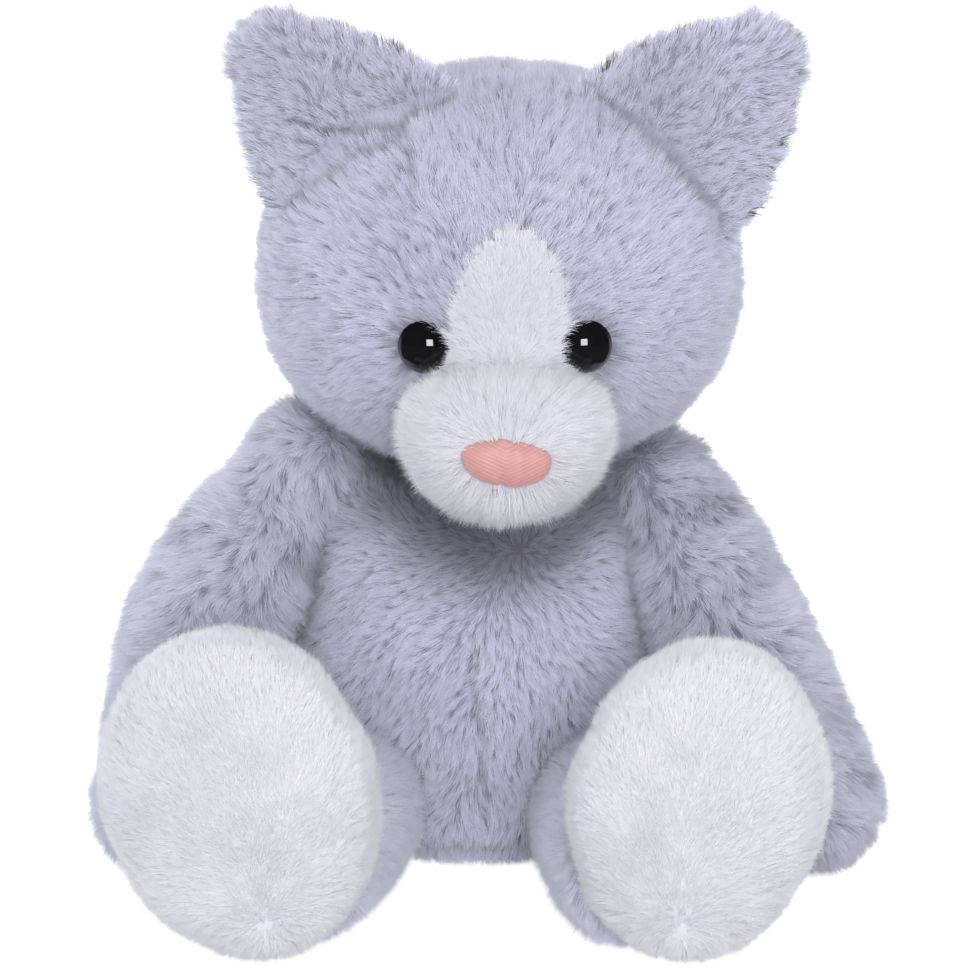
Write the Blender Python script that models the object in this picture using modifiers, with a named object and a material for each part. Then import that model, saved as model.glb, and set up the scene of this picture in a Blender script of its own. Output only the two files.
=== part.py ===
"""A seated plush cat, sewn from fabric panels round stuffed cores.

Metres, +Z up. The cat sits on the plane Z = 0 and faces -Y, so its own left side is at +X.
The origin is the middle of the flat base panel. Each stuffed form (head, torso, arm, ...) is a
closed skin lofted through elliptical rings. The skin is cut along its seams into fabric panels of
even thickness, and what lies inside the fabric is the stuffing.
"""

import math

import bmesh
import bpy
from mathutils import Matrix, Vector

GAP = 0.0004  # clearance between neighbours
ROOT_SLACK = 0.0009  # more clearance round a ball that turns in its socket
PLUSH = 0.005  # fabric with the dense part of its pile
THIN_PLUSH = 0.004  # the same fabric where a small form stretches it

HEAD_CENTRE = Vector((0.006, 0.000, 0.176))
HEAD_HALF = Vector((0.072, 0.058, 0.0635))
HEAD_LOW = 0.057  # from the head's centre down to its underside
NECK_PIVOT = Vector((0.003, -0.002, 0.133))
NECK_RADIUS = 0.025
BLAZE_HALF = 0.015
BLAZE_TOP = 0.019
CROWN_SEAM_Y = 0.004

MUZZLE_CENTRE = Vector((0.0075, -0.054, 0.1365))
MUZZLE_HALF = Vector((0.0280, 0.027, 0.0210))
MUZZLE_TAPER = 0.12
CHIN_SEAM = (0, 0, -0.009)  # from the muzzle's centre
NOSE_CENTRE = Vector((0.0077, -0.0795, 0.1348))
NOSE_HALF = Vector((0.0130, 0.0050, 0.0072))
NOSE_TAPER = 0.16
THREAD_RADIUS = 0.0008
THREAD_TOP = NOSE_CENTRE + Vector((-0.0034, -0.0004, -0.0080))
THREAD_POINTS = ((0, 0, 0), (0.0003, 0.0004, -0.0012), (0.0004, 0.0010, -0.0024))

EYE_SPACING = 0.0470
EYE_MIDDLE_X = 0.0074
EYE_Z = 0.1640
EYE_RADIUS = 0.0081
EYE_HEIGHT = 0.0066
EYE_RIM = 0.0009  # the thickness of its flat back
EYE_SHANK_RADIUS = 0.0021
EYE_SHANK_LENGTH = 0.0125
WASHER_RADIUS = 0.0065
WASHER_THICK = 0.0016
WASHER_HUB = 0.0018  # the wall of its hub

EAR_TALL = 0.053
EAR_HALF_WIDE = 0.031
EAR_HALF_THICK = 0.0050
EAR_ROOT = 0.016
EAR_CUP = 0.008  # how far the ear's two edges bend forward
EAR_TIP_FALL = 0.006  # how far its tip does
EAR_CREASES = (-0.5, 0.0, 0.5)  # where the ear may bend, as shares of its half width
EAR_BANDS = (0.1, 0.35, 0.6)  # and as shares of its height

TORSO_STATIONS = (  # height, half width, half depth
    (0.000, 0.043, 0.038),
    (0.006, 0.052, 0.046),
    (0.022, 0.060, 0.052),
    (0.050, 0.061, 0.053),
    (0.080, 0.054, 0.049),
    (0.101, 0.048, 0.042),
    (0.113, 0.036, 0.031),
)
TORSO_TOP = 0.1155
BASE_SEAM = 0.009
STUFFING_LEVEL = 0.030  # the pellet bag lies under it
PELLET_BAG_CENTRE = Vector((0.0, 0.0125, 0.0177))
PELLET_BAG_HALF = Vector((0.042, 0.0245, 0.0118))

ARM_ROOT_RADIUS = 0.0155
ARM_STATIONS = (  # distance from the shoulder, half thickness, half breadth
    (0.000, 0.0155, 0.0155),
    (0.022, 0.0200, 0.0195),
    (0.050, 0.0220, 0.0215),
    (0.080, 0.0205, 0.0220),
    (0.106, 0.0185, 0.0215),
)
ARM_TIP = 0.019
ARM_SWINGS = (0,)

LEG_ROOT_RADIUS = 0.020
LEG_STATIONS = (  # distance from the hip, half width, half height
    (0.000, 0.0200, 0.0200),
    (0.030, 0.0215, 0.0208),
    (0.060, 0.0215, 0.0208),
    (0.080, 0.0190, 0.0190),
)
LEG_TIP = 0.010
LEG_SWINGS = tuple(math.radians(turn) for turn in (-20, -9, 0, 12, 23, 34, 45))  # up to down
SOLE_SPLAY = math.radians(7)
SOLE_TILT = math.radians(8)
FOOT_HALF_THICK = 0.022
ANKLE_TO_FOOT = (0.019, -0.020, 0.0240)  # outwards, back and up to the foot's centre
FOOT_SQUARENESS = 2.9
SOLE_SEAM = 0.009
FOOT_PELLET_LEVEL = -0.018

TAIL_PIVOT = Vector((0.0, 0.048, 0.0145))
TAIL_ROOT_RADIUS = 0.0090
TAIL_STATIONS = (  # distance from the root, half width, half height
    (0.000, 0.0090, 0.0090),
    (0.022, 0.0108, 0.0108),
    (0.072, 0.0118, 0.0118),
)
TAIL_TIP = 0.012
TAIL_TURN = math.radians(14)
TAIL_DROP = math.radians(1.5)
TAIL_SWINGS = tuple(math.radians(turn) for turn in (-35, 0, 35))

SIDES = (  # name, sign of X on that side, and what the two slumped sides don't share
    ("right", -1, {
        "shoulder": Vector((-0.0565, -0.005, 0.1120)),
        "flank_lean": math.radians(26),
        "arm_forward": math.radians(19),
        "arm_bow": (0.0, 0.0048, 0.0062, 0.0020, -0.0045),  # how far its stations lie outwards
        "hip": Vector((-0.037, -0.034, 0.0222)),
        "foot": Vector((-0.0680, -0.118, 0.0468)),
        "foot_half": (0.0375, 0.0463),
        "foot_roll": math.radians(18),
        "ear_base": Vector((-0.0330, -0.013, 0.2140)),
        "ear_lean": math.radians(42),
    }),
    ("left", 1, {
        "shoulder": Vector((0.0548, -0.005, 0.1100)),
        "flank_lean": math.radians(25),
        "arm_forward": math.radians(22),
        "arm_bow": (0.0, 0.0010, 0.0012, 0.0028, 0.0048),
        "hip": Vector((0.037, -0.034, 0.0222)),
        "foot": Vector((0.0620, -0.118, 0.0448)),
        "foot_half": (0.0350, 0.0443),
        "foot_roll": math.radians(13),
        "ear_base": Vector((0.0535, -0.013, 0.2145)),
        "ear_lean": math.radians(45),
    }),
)

HEAD_SEGMENTS = 20
HEAD_RINGS = 12
MUZZLE_SEGMENTS = 14
NOSE_SEGMENTS = 12
BALL_SEGMENTS = 16
EAR_SEGMENTS = 12
TORSO_SEGMENTS = 20
LIMB_SEGMENTS = 12
FOOT_SEGMENTS = 16
TAIL_SEGMENTS = 10


GRAY_PLUSH = (0.47, 0.48, 0.55, 1.0)
WHITE_PLUSH = (0.80, 0.80, 0.84, 1.0)
PINK_SATIN = (0.80, 0.38, 0.33, 1.0)
PINK_THREAD = (0.75, 0.30, 0.28, 1.0)
BLACK_GLOSS = (0.004, 0.004, 0.005, 1.0)
WASHER_WHITE = (0.75, 0.75, 0.72, 1.0)
FILLING_WHITE = (0.85, 0.85, 0.85, 1.0)
PELLET_CLOTH = (0.70, 0.66, 0.58, 1.0)


# ---------------------------------------------------------------- scene and materials

def clear_scene():
    for obj in list(bpy.data.objects):
        bpy.data.objects.remove(obj, do_unlink=True)


def new_collection(name):
    collection = bpy.data.collections.new(name)
    bpy.context.scene.collection.children.link(collection)
    return collection


def material(name, colour, roughness):
    made = bpy.data.materials.new(name)
    made.use_nodes = True
    shader = made.node_tree.nodes["Principled BSDF"]
    shader.inputs["Base Color"].default_value = colour
    shader.inputs["Roughness"].default_value = roughness
    shader.inputs["Metallic"].default_value = 0.0
    return made


clear_scene()
CAT = new_collection("plush_cat")
CUTTERS = new_collection("cutters")


def add_object(name, mesh, look, place, collection=CAT):
    obj = bpy.data.objects.new(name, mesh)
    obj.parent = place
    mesh.shade_smooth()
    if look:
        mesh.materials.append(look)
    collection.objects.link(obj)
    return obj


def empty_at(name, matrix, parent=None):
    empty = bpy.data.objects.new(name, None)
    CAT.objects.link(empty)
    empty.parent = parent
    empty.matrix_basis = matrix
    return empty


def frame_along(origin, along, across):
    """A place whose Z axis points along, with its X axis as near to across as that allows."""
    z = Vector(along).normalized()
    y = z.cross(Vector(across)).normalized()
    x = y.cross(z)
    turn = Matrix((x, y, z)).transposed().to_4x4()
    return Matrix.Translation(origin) @ turn


# ---------------------------------------------------------------- forms

def smooth_stations(stations, steps):
    """Rows between the stations, on Catmull-Rom curves through their numbers."""
    rows = []
    last = len(stations) - 1
    for i in range(last):
        before = Vector(stations[max(i - 1, 0)])
        start = Vector(stations[i])
        end = Vector(stations[i + 1])
        after = Vector(stations[min(i + 2, last)])
        for step in range(steps):
            t = step / steps
            rows.append(
                0.5 * (2 * start + (end - before) * t
                       + (2 * before - 5 * start + 4 * end - after) * t ** 2
                       + (3 * start - before - 3 * end + after) * t ** 3)
            )
    rows.append(Vector(stations[last]))
    return [(*row, 0)[:4] for row in rows]


def skin_through(rows, segments):
    """A closed skin through rows of (height, half x, half y, shift along x), poles first and last."""
    form = bmesh.new()
    rings = len(rows) - 1
    bmesh.ops.create_uvsphere(form, u_segments=segments, v_segments=rings, radius=1)
    for vert in form.verts:
        polar = math.acos(max(-1.0, min(1.0, -vert.co.z)))
        height, half_x, half_y, shift = rows[round(polar / math.pi * rings)]
        round_z = math.atan2(vert.co.y, vert.co.x)
        vert.co = (half_x * math.cos(round_z) + shift, half_y * math.sin(round_z), height)
    return form


def oval_rows(low, high, half_x, half_y, rings, squareness=2.0):
    """Rows of a superellipsoid from -low to high; squareness 2 is an ellipsoid."""
    rows = []
    power = 2 / squareness
    for i in range(rings + 1):
        polar = math.pi * i / rings
        reach = math.sin(polar) ** power if 0 < i < rings else 0.0
        rise = -math.copysign(abs(math.cos(polar)) ** power, math.cos(polar))
        rows.append((rise * (high if rise > 0 else low), half_x * reach, half_y * reach, 0))
    return rows


def tapered(half, taper, rings, squareness):
    """Rows of a superellipsoid that is wider above its middle and narrower below."""
    rows = oval_rows(half.z, half.z, half.x, half.y, rings, squareness)
    return [(z, x * (1 + taper * z / half.z), y, 0) for z, x, y, _ in rows]


def limb_rows(root_radius, stations, tip, steps=1, cap_rings=3):
    """Rows of a limb: a half ball round its joint, the stations, and a rounded end."""
    rows = []
    for i in range(cap_rings):
        polar = math.pi / 2 * i / cap_rings
        reach = root_radius * math.sin(polar)
        rows.append((-root_radius * math.cos(polar), reach, reach, 0))
    rows += smooth_stations(stations, steps)
    length, half_x, half_y, shift = rows[-1]
    for i in range(1, cap_rings + 1):
        polar = math.pi / 2 * i / cap_rings
        shrink = math.cos(polar) if i < cap_rings else 0.0
        rows.append((length + tip * math.sin(polar), half_x * shrink, half_y * shrink, shift))
    return rows


def moved_along_normals(form, distance):
    form.normal_update()
    moved = {vert: vert.co - vert.normal * distance for vert in form.verts}
    for vert, place in moved.items():
        vert.co = place


def cut_to(form, planes, gap=GAP):
    """Keeps what lies on the side that each plane's normal points to, half a gap back from it."""
    for point, normal in planes:
        side = Vector(normal).normalized()
        bmesh.ops.bisect_plane(
            form,
            geom=form.verts[:] + form.edges[:] + form.faces[:],
            plane_co=Vector(point) + side * gap / 2,
            plane_no=side,
            dist=1e-6,
            clear_inner=True,
        )


def crease(form, point, normal):
    """Splits the faces that cross a plane, so that the form can bend there."""
    bmesh.ops.bisect_plane(
        form,
        geom=form.verts[:] + form.edges[:] + form.faces[:],
        plane_co=point,
        plane_no=normal,
        dist=1e-6,
    )


def to_mesh(name, form):
    bmesh.ops.recalc_face_normals(form, faces=form.faces[:])
    mesh = bpy.data.meshes.new(name)
    form.to_mesh(mesh)
    form.free()
    return mesh


def panel(name, rows, segments, planes, look, place, thick=PLUSH, bend=None):
    """One sewn piece of fabric: the form's skin between its seams, thickened inwards."""
    form = skin_through(rows, segments)
    form.normal_update()
    inner = form.verts.layers.float_vector.new("inner")
    for vert in form.verts:
        vert[inner] = vert.co - vert.normal * thick
    cut_to(form, planes)
    rim = [edge for edge in form.edges if edge.is_boundary]
    rim_ends = [(edge.verts[0], edge.verts[1]) for edge in rim]
    outside = list(form.faces)
    lining = {vert: form.verts.new(vert[inner]) for vert in list(form.verts)}
    for face in outside:
        form.faces.new([lining[vert] for vert in reversed(face.verts)])
    for start, end in rim_ends:
        form.faces.new((start, end, lining[end], lining[start]))
    if bend:
        for vert in form.verts:
            vert.co = bend(vert.co)
    return add_object(name, to_mesh(name, form), look, place)


def core(name, rows, segments, look, place, thick=PLUSH, planes=()):
    """What fills a form inside its fabric, cut flat at the planes."""
    form = skin_through(rows, segments)
    moved_along_normals(form, thick + GAP)
    for plane in planes:
        cut_to(form, (plane,))
        bmesh.ops.holes_fill(form, edges=[edge for edge in form.edges if edge.is_boundary])
    return add_object(name, to_mesh(name, form), look, place)


def cutter(name, rows, segments, place):
    """A form with clearance round it, for cutting its neighbours."""
    form = skin_through(rows, segments)
    moved_along_normals(form, -GAP)
    tool = add_object(name, to_mesh(name, form), None, place, CUTTERS)
    tool.hide_render = True
    tool.display_type = "WIRE"
    return tool


def cut_by(objects, *tools):
    for obj in objects:
        for tool in tools:
            cut = obj.modifiers.new(tool.name, "BOOLEAN")
            cut.operation = "DIFFERENCE"
            cut.solver = "EXACT"
            cut.object = tool


# ---------------------------------------------------------------- head

def head_rows():
    """A wide round head, fuller in its cheeks than in its crown."""
    crown = oval_rows(HEAD_LOW, HEAD_HALF.z, HEAD_HALF.x, HEAD_HALF.y, HEAD_RINGS, 2.12)
    cheeks = oval_rows(HEAD_LOW, HEAD_HALF.z, HEAD_HALF.x, HEAD_HALF.y, HEAD_RINGS, 2.2)
    return cheeks[: HEAD_RINGS // 2] + crown[HEAD_RINGS // 2 :]


def make_head(looks, place, neck_cutter):
    """The head's six panels and its stuffing; returns the pieces that other forms cut."""
    gray = looks["gray"]
    rows = head_rows()
    front = ((0, CROWN_SEAM_Y, 0), (0, -1, 0))
    rear = ((0, CROWN_SEAM_Y, 0), (0, 1, 0))
    middle = [((-BLAZE_HALF, 0, 0), (1, 0, 0)), ((BLAZE_HALF, 0, 0), (-1, 0, 0))]
    seams = {
        "face_left": [front, ((BLAZE_HALF, 0, 0), (1, 0, 0))],
        "face_right": [front, ((-BLAZE_HALF, 0, 0), (-1, 0, 0))],
        "crown_gusset": [front, *middle, ((0, 0, BLAZE_TOP), (0, 0, 1))],
        "blaze": [front, *middle, ((0, 0, BLAZE_TOP), (0, 0, -1))],
        "head_back_left": [rear, ((0, 0, 0), (1, 0, 0))],
        "head_back_right": [rear, ((0, 0, 0), (-1, 0, 0))],
    }
    pieces = {}
    for name, planes in seams.items():
        look = looks["white"] if name == "blaze" else gray
        pieces[name] = panel(name, rows, HEAD_SEGMENTS, planes, look, place)
    pieces["head_stuffing"] = core("head_stuffing", rows, HEAD_SEGMENTS, looks["filling"], place)
    low = [piece for name, piece in pieces.items() if name != "crown_gusset"]
    cut_by(low, neck_cutter)
    return pieces


def make_muzzle(looks, place, head_cutter, nose_cutter):
    rows = tapered(MUZZLE_HALF, MUZZLE_TAPER, 8, 2.2)
    seams = {
        "muzzle_left": [((0, 0, 0), (1, 0, 0)), (CHIN_SEAM, (0, 0, 1))],
        "muzzle_right": [((0, 0, 0), (-1, 0, 0)), (CHIN_SEAM, (0, 0, 1))],
        "chin": [(CHIN_SEAM, (0, 0, -1))],
    }
    pieces = [
        panel(name, rows, MUZZLE_SEGMENTS, planes, looks["white"], place, THIN_PLUSH)
        for name, planes in seams.items()
    ]
    stuffing = core("muzzle_stuffing", rows, MUZZLE_SEGMENTS, looks["filling"], place, THIN_PLUSH)
    cut_by([*pieces, stuffing], head_cutter, nose_cutter)


def nose_rows():
    return tapered(NOSE_HALF, NOSE_TAPER, 6, 2.3)


def make_nose(looks, parent):
    place = empty_at("nose_place", Matrix.Translation(NOSE_CENTRE - NECK_PIVOT), parent)
    form = skin_through(nose_rows(), NOSE_SEGMENTS)
    add_object("nose_patch", to_mesh("nose_patch", form), looks["satin"], place)
    return cutter("nose_clearance", nose_rows(), NOSE_SEGMENTS, place)


def make_nose_thread(looks, parent):
    """The short stitch that pulls the muzzle in under the nose."""
    curve = bpy.data.curves.new("nose_thread", "CURVE")
    curve.dimensions = "3D"
    curve.bevel_depth = THREAD_RADIUS
    curve.bevel_resolution = 2
    curve.use_fill_caps = True
    spline = curve.splines.new("POLY")
    spline.points.add(len(THREAD_POINTS) - 1)
    for point, place in zip(spline.points, THREAD_POINTS):
        point.co = (*place, 1)
    curve.materials.append(looks["thread"])
    stitch = bpy.data.objects.new("nose_thread", curve)
    stitch.parent = parent
    stitch.location = THREAD_TOP - NECK_PIVOT
    CAT.objects.link(stitch)


def turned(name, profile, look, place, collection=CAT, steps=14):
    """A profile of (radius, height) points, outer side first from the top, turned round Z."""
    mesh = bpy.data.meshes.new(name)
    points = [(radius, 0, height) for radius, height in profile]
    edges = [(i, i + 1) for i in range(len(points) - 1)]
    if points[0][0] > 0:
        edges.append((len(points) - 1, 0))
    mesh.from_pydata(points, edges, [])
    obj = add_object(name, mesh, look, place, collection)
    screw = obj.modifiers.new("Turn", "SCREW")
    screw.steps = steps
    screw.render_steps = steps
    screw.use_merge_vertices = True
    screw.merge_threshold = 0.00001
    return obj


def dome_profile():
    """Half of a safety eye: a low dome, a flat back and a shank."""
    arc = []
    for i in range(5):
        polar = math.pi / 2 * i / 4
        arc.append((EYE_RADIUS * math.sin(polar), EYE_HEIGHT * math.cos(polar)))
    return arc + [
        (EYE_RADIUS - EYE_RIM / 2, -EYE_RIM),
        (EYE_SHANK_RADIUS, -EYE_RIM),
        (EYE_SHANK_RADIUS, -EYE_SHANK_LENGTH),
        (0, -EYE_SHANK_LENGTH),
    ]


def washer_profile(depth):
    bore = EYE_SHANK_RADIUS + GAP
    return [
        (WASHER_RADIUS, -depth),
        (WASHER_RADIUS, -depth - WASHER_THICK),
        (bore + WASHER_HUB, -depth - WASHER_THICK),
        (bore + WASHER_HUB, -depth - 2 * WASHER_THICK),
        (bore, -depth - 2 * WASHER_THICK),
        (bore, -depth),
    ]


def make_eye(side, sign, looks, parent, pieces):
    """A domed eye in a shallow seat, its shank through the fabric, and the washer behind it."""
    x = EYE_MIDDLE_X + sign * EYE_SPACING / 2 - HEAD_CENTRE.x
    z = EYE_Z - HEAD_CENTRE.z
    y = -HEAD_HALF.y * math.sqrt(1 - (x / HEAD_HALF.x) ** 2 - (z / HEAD_LOW) ** 2)
    out = Vector((x / HEAD_HALF.x ** 2, y / HEAD_HALF.y ** 2, z / HEAD_HALF.z ** 2))
    spot = HEAD_CENTRE - NECK_PIVOT + Vector((x, y, z))
    place = empty_at(f"eye_place_{side}", frame_along(spot, out, (1, 0, 0)), parent)
    behind = PLUSH + 2 * GAP
    turned(f"eye_{side}", dome_profile(), looks["black"], place)
    turned(f"eye_washer_{side}", washer_profile(behind), looks["washer"], place)
    seat = EYE_RIM + GAP
    hole = EYE_SHANK_RADIUS + GAP
    pocket = WASHER_RADIUS + GAP
    clearance = turned(
        f"eye_clearance_{side}",
        [
            (0, 0.012),
            (EYE_RADIUS + GAP, 0.012),
            (EYE_RADIUS + GAP, -seat),
            (hole, -seat),
            (hole, -PLUSH),
            (pocket, -PLUSH),
            (pocket, -behind - 2 * WASHER_THICK - GAP),
            (hole, -behind - 2 * WASHER_THICK - GAP),
            (hole, -EYE_SHANK_LENGTH - GAP),
            (0, -EYE_SHANK_LENGTH - GAP),
        ],
        None, place, CUTTERS,
    )
    clearance.hide_render = True
    clearance.display_type = "WIRE"
    cut_by([pieces[f"face_{side}"], pieces["head_stuffing"]], clearance)


def ear_rows():
    """A triangle with a rounded tip, as rows up from the root."""
    outline = (
        (-EAR_ROOT, EAR_HALF_WIDE * 0.98),
        (0.000, EAR_HALF_WIDE),
        (EAR_TALL * 0.30, EAR_HALF_WIDE * 0.93),
        (EAR_TALL * 0.60, EAR_HALF_WIDE * 0.67),
        (EAR_TALL * 0.82, EAR_HALF_WIDE * 0.41),
    )
    stations = [(height, half, EAR_HALF_THICK) for height, half in outline]
    tops = smooth_stations(stations, 2)
    crown, half, thick = stations[-1]
    rows = [(-EAR_ROOT, 0, 0, 0), *tops]
    for polar in (math.radians(35), math.radians(65), math.radians(90)):
        shrink = math.cos(polar) if polar < 1.5 else 0.0
        rise = (EAR_TALL - crown) * math.sin(polar)
        rows.append((crown + rise, half * shrink, thick * shrink, 0))
    return rows


def cup_ear(point):
    """Bends the ear forward at its two edges, and lets its tip fall forward a little."""
    across = point.x / EAR_HALF_WIDE
    up = max(point.z, 0) / EAR_TALL
    forward = EAR_CUP * across ** 2 + EAR_TIP_FALL * up ** 2
    return Vector((point.x, point.y - forward, point.z))


def make_ear(side, sign, shape, looks, parent, head_cutter):
    lean = shape["ear_lean"]
    up = (sign * math.sin(lean), 0, math.cos(lean))
    place = empty_at(
        f"ear_place_{side}",
        frame_along(shape["ear_base"] - NECK_PIVOT, up, (math.cos(lean), 0, -sign * math.sin(lean))),
        parent,
    )
    for name, facing in (("front", -1), ("back", 1)):
        form = skin_through(ear_rows(), EAR_SEGMENTS)
        cut_to(form, [((0, 0, 0), (0, facing, 0))], gap=3 * GAP)
        bmesh.ops.holes_fill(form, edges=[edge for edge in form.edges if edge.is_boundary])
        for share in EAR_CREASES:
            crease(form, (share * EAR_HALF_WIDE, 0, 0), (1, 0, 0))
        for share in EAR_BANDS:
            crease(form, (0, 0, share * EAR_TALL), (0, 0, 1))
        for vert in form.verts:
            vert.co = cup_ear(vert.co)
        label = f"ear_{side}_{name}"
        half = add_object(label, to_mesh(label, form), looks["gray"], place)
        cut_by([half], head_cutter)


# ---------------------------------------------------------------- torso

def torso_rows():
    return [(0, 0, 0, 0), *smooth_stations(TORSO_STATIONS, 1), (TORSO_TOP, 0, 0, 0)]


def make_torso(looks, tools):
    rows = torso_rows()
    above = ((0, 0, BASE_SEAM), (0, 0, 1))
    seams = {
        "chest_left": [above, ((0, 0, 0), (1, 0, 0)), ((0, 0, 0), (0, -1, 0))],
        "chest_right": [above, ((0, 0, 0), (-1, 0, 0)), ((0, 0, 0), (0, -1, 0))],
        "back_left": [above, ((0, 0, 0), (1, 0, 0)), ((0, 0, 0), (0, 1, 0))],
        "back_right": [above, ((0, 0, 0), (-1, 0, 0)), ((0, 0, 0), (0, 1, 0))],
        "base_panel": [((0, 0, BASE_SEAM), (0, 0, -1))],
    }
    pieces = {
        name: panel(name, rows, TORSO_SEGMENTS, planes, looks["gray"], None)
        for name, planes in seams.items()
    }
    level = [((0, 0, STUFFING_LEVEL), (0, 0, 1))]
    stuffing = core("body_stuffing", rows, TORSO_SEGMENTS, looks["filling"], None, planes=level)
    bag_place = empty_at("pellet_bag_place", Matrix.Translation(PELLET_BAG_CENTRE))
    half = PELLET_BAG_HALF
    bag = skin_through(oval_rows(half.z, half.z, half.x, half.y, 7, 2.6), TORSO_SEGMENTS)
    add_object("pellet_bag", to_mesh("pellet_bag", bag), looks["pellets"], bag_place)
    for side in ("left", "right"):
        chest = pieces[f"chest_{side}"]
        back = pieces[f"back_{side}"]
        cut_by([chest, stuffing], *tools[f"hip_{side}"])
        root, *_, lowest = tools[f"hip_{side}"]
        cut_by([pieces["base_panel"]], root, lowest)
        cut_by([chest, back, stuffing], *tools[f"shoulder_{side}"])
        cut_by([back], *tools["tail"])
        cut_by([chest, back], tools["neck"])
    cut_by([pieces["base_panel"], stuffing], *tools["tail"])
    cut_by([stuffing], tools["neck"])


def ball_rows(radius):
    return oval_rows(radius, radius, radius, radius, BALL_SEGMENTS // 2)


def ball_cutter(name, radius, place):
    return cutter(name, ball_rows(radius), BALL_SEGMENTS, place)


def clearances(name, radius, rows, place, axis, swings):
    """Cutters for a limb's root: the ball round its joint, and the limb itself as it swings."""
    tools = [ball_cutter(f"{name}_root_clearance", radius + ROOT_SLACK, place)]
    for number, turn in enumerate(swings):
        swung = empty_at(f"{name}_swing_{number}", Matrix.Rotation(turn, 4, axis), place)
        tools.append(cutter(f"{name}_swing_clearance_{number}", rows, LIMB_SEGMENTS, swung))
    return tools


def make_neck(looks, place):
    """The firm wad of stuffing between the head and the torso."""
    form = skin_through(ball_rows(NECK_RADIUS), BALL_SEGMENTS)
    add_object("neck_stuffing", to_mesh("neck_stuffing", form), looks["filling"], place)
    return ball_cutter("neck_clearance", NECK_RADIUS + ROOT_SLACK, place)


# ---------------------------------------------------------------- limbs

def make_arm(side, sign, shape, looks):
    lean = shape["flank_lean"]
    outward = Vector((sign * math.cos(lean), 0, math.sin(lean)))
    down = Vector((sign * math.sin(lean), 0, -math.cos(lean)))
    forward = shape["arm_forward"]
    along = down * math.cos(forward) + Vector((0, -1, 0)) * math.sin(forward)
    place = empty_at(f"shoulder_{side}", frame_along(shape["shoulder"], along, outward))
    stations = [(*station, bow) for station, bow in zip(ARM_STATIONS, shape["arm_bow"])]
    rows = limb_rows(ARM_ROOT_RADIUS, stations, ARM_TIP)
    # local Y points to the cat's front on its left side and to its back on its right
    for name, way in (("front", sign), ("back", -sign)):
        planes = [((0, 0, 0), (0, way, 0))]
        panel(f"arm_{side}_{name}", rows, LIMB_SEGMENTS, planes, looks["gray"], place)
    core(f"arm_{side}_stuffing", rows, LIMB_SEGMENTS, looks["filling"], place)
    return clearances(f"arm_{side}", ARM_ROOT_RADIUS, rows, place, "Y", ARM_SWINGS)


def make_leg(side, sign, shape, looks):
    hip = shape["hip"]
    outwards, back, up = ANKLE_TO_FOOT
    ankle = shape["foot"] - Vector((sign * outwards, back, up))
    place = empty_at(f"hip_{side}", frame_along(hip, ankle - hip, (1, 0, 0)))
    foot_turn = Matrix.Rotation(sign * shape["foot_roll"], 4, "Y")
    front = Vector((sign * math.sin(SOLE_SPLAY), -math.cos(SOLE_SPLAY), math.tan(SOLE_TILT)))
    sole_frame = foot_turn @ frame_along((0, 0, 0), front, (1, 0, 0))
    foot_place = Matrix.Translation(shape["foot"]) @ sole_frame
    foot = empty_at(f"foot_place_{side}", place.matrix_basis.inverted() @ foot_place, place)
    half_x, half_y = shape["foot_half"]
    foot_rows = oval_rows(
        FOOT_HALF_THICK, FOOT_HALF_THICK, half_x, half_y, 9, FOOT_SQUARENESS
    )
    foot_cutter = cutter(f"foot_clearance_{side}", foot_rows, FOOT_SEGMENTS, foot)
    make_foot(side, foot_rows, looks, foot)

    rows = limb_rows(LEG_ROOT_RADIUS, LEG_STATIONS, LEG_TIP)
    pieces = [core(f"leg_{side}_stuffing", rows, LIMB_SEGMENTS, looks["filling"], place)]
    for name, way in (("top", 1), ("under", -1)):
        planes = [((0, 0, 0), (0, way, 0))]
        pieces.append(
            panel(f"leg_{side}_{name}", rows, LIMB_SEGMENTS, planes, looks["gray"], place)
        )
    cut_by(pieces, foot_cutter)
    return clearances(f"leg_{side}", LEG_ROOT_RADIUS, rows, place, "X", LEG_SWINGS)


def make_foot(side, rows, looks, place):
    white = looks["white"]
    edge = (0, 0, SOLE_SEAM)
    panel(f"foot_{side}_sole", rows, FOOT_SEGMENTS, [(edge, (0, 0, 1))], white, place)
    for name, way in (("inner", 1), ("outer", -1)):
        across = way if side == "right" else -way
        planes = [(edge, (0, 0, -1)), ((0, 0, 0), (across, 0, 0))]
        panel(f"foot_{side}_{name}", rows, FOOT_SEGMENTS, planes, white, place)
    for name, look, way in (("stuffing", "filling", 1), ("pellets", "pellets", -1)):
        planes = [((0, FOOT_PELLET_LEVEL, 0), (0, way, 0))]
        core(f"foot_{side}_{name}", rows, FOOT_SEGMENTS, looks[look], place, planes=planes)


def make_tail(looks):
    along = (math.sin(TAIL_TURN), math.cos(TAIL_TURN), -math.sin(TAIL_DROP))
    place = empty_at("tail_root", frame_along(TAIL_PIVOT, along, (1, 0, 0)))
    rows = limb_rows(TAIL_ROOT_RADIUS, TAIL_STATIONS, TAIL_TIP)
    for name, way in (("left", 1), ("right", -1)):
        planes = [((0, 0, 0), (way, 0, 0))]
        panel(f"tail_{name}", rows, TAIL_SEGMENTS, planes, looks["gray"], place, THIN_PLUSH)
    core("tail_stuffing", rows, TAIL_SEGMENTS, looks["filling"], place, THIN_PLUSH)
    return clearances("tail", TAIL_ROOT_RADIUS, rows, place, "Y", TAIL_SWINGS)


# ---------------------------------------------------------------- the cat

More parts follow.
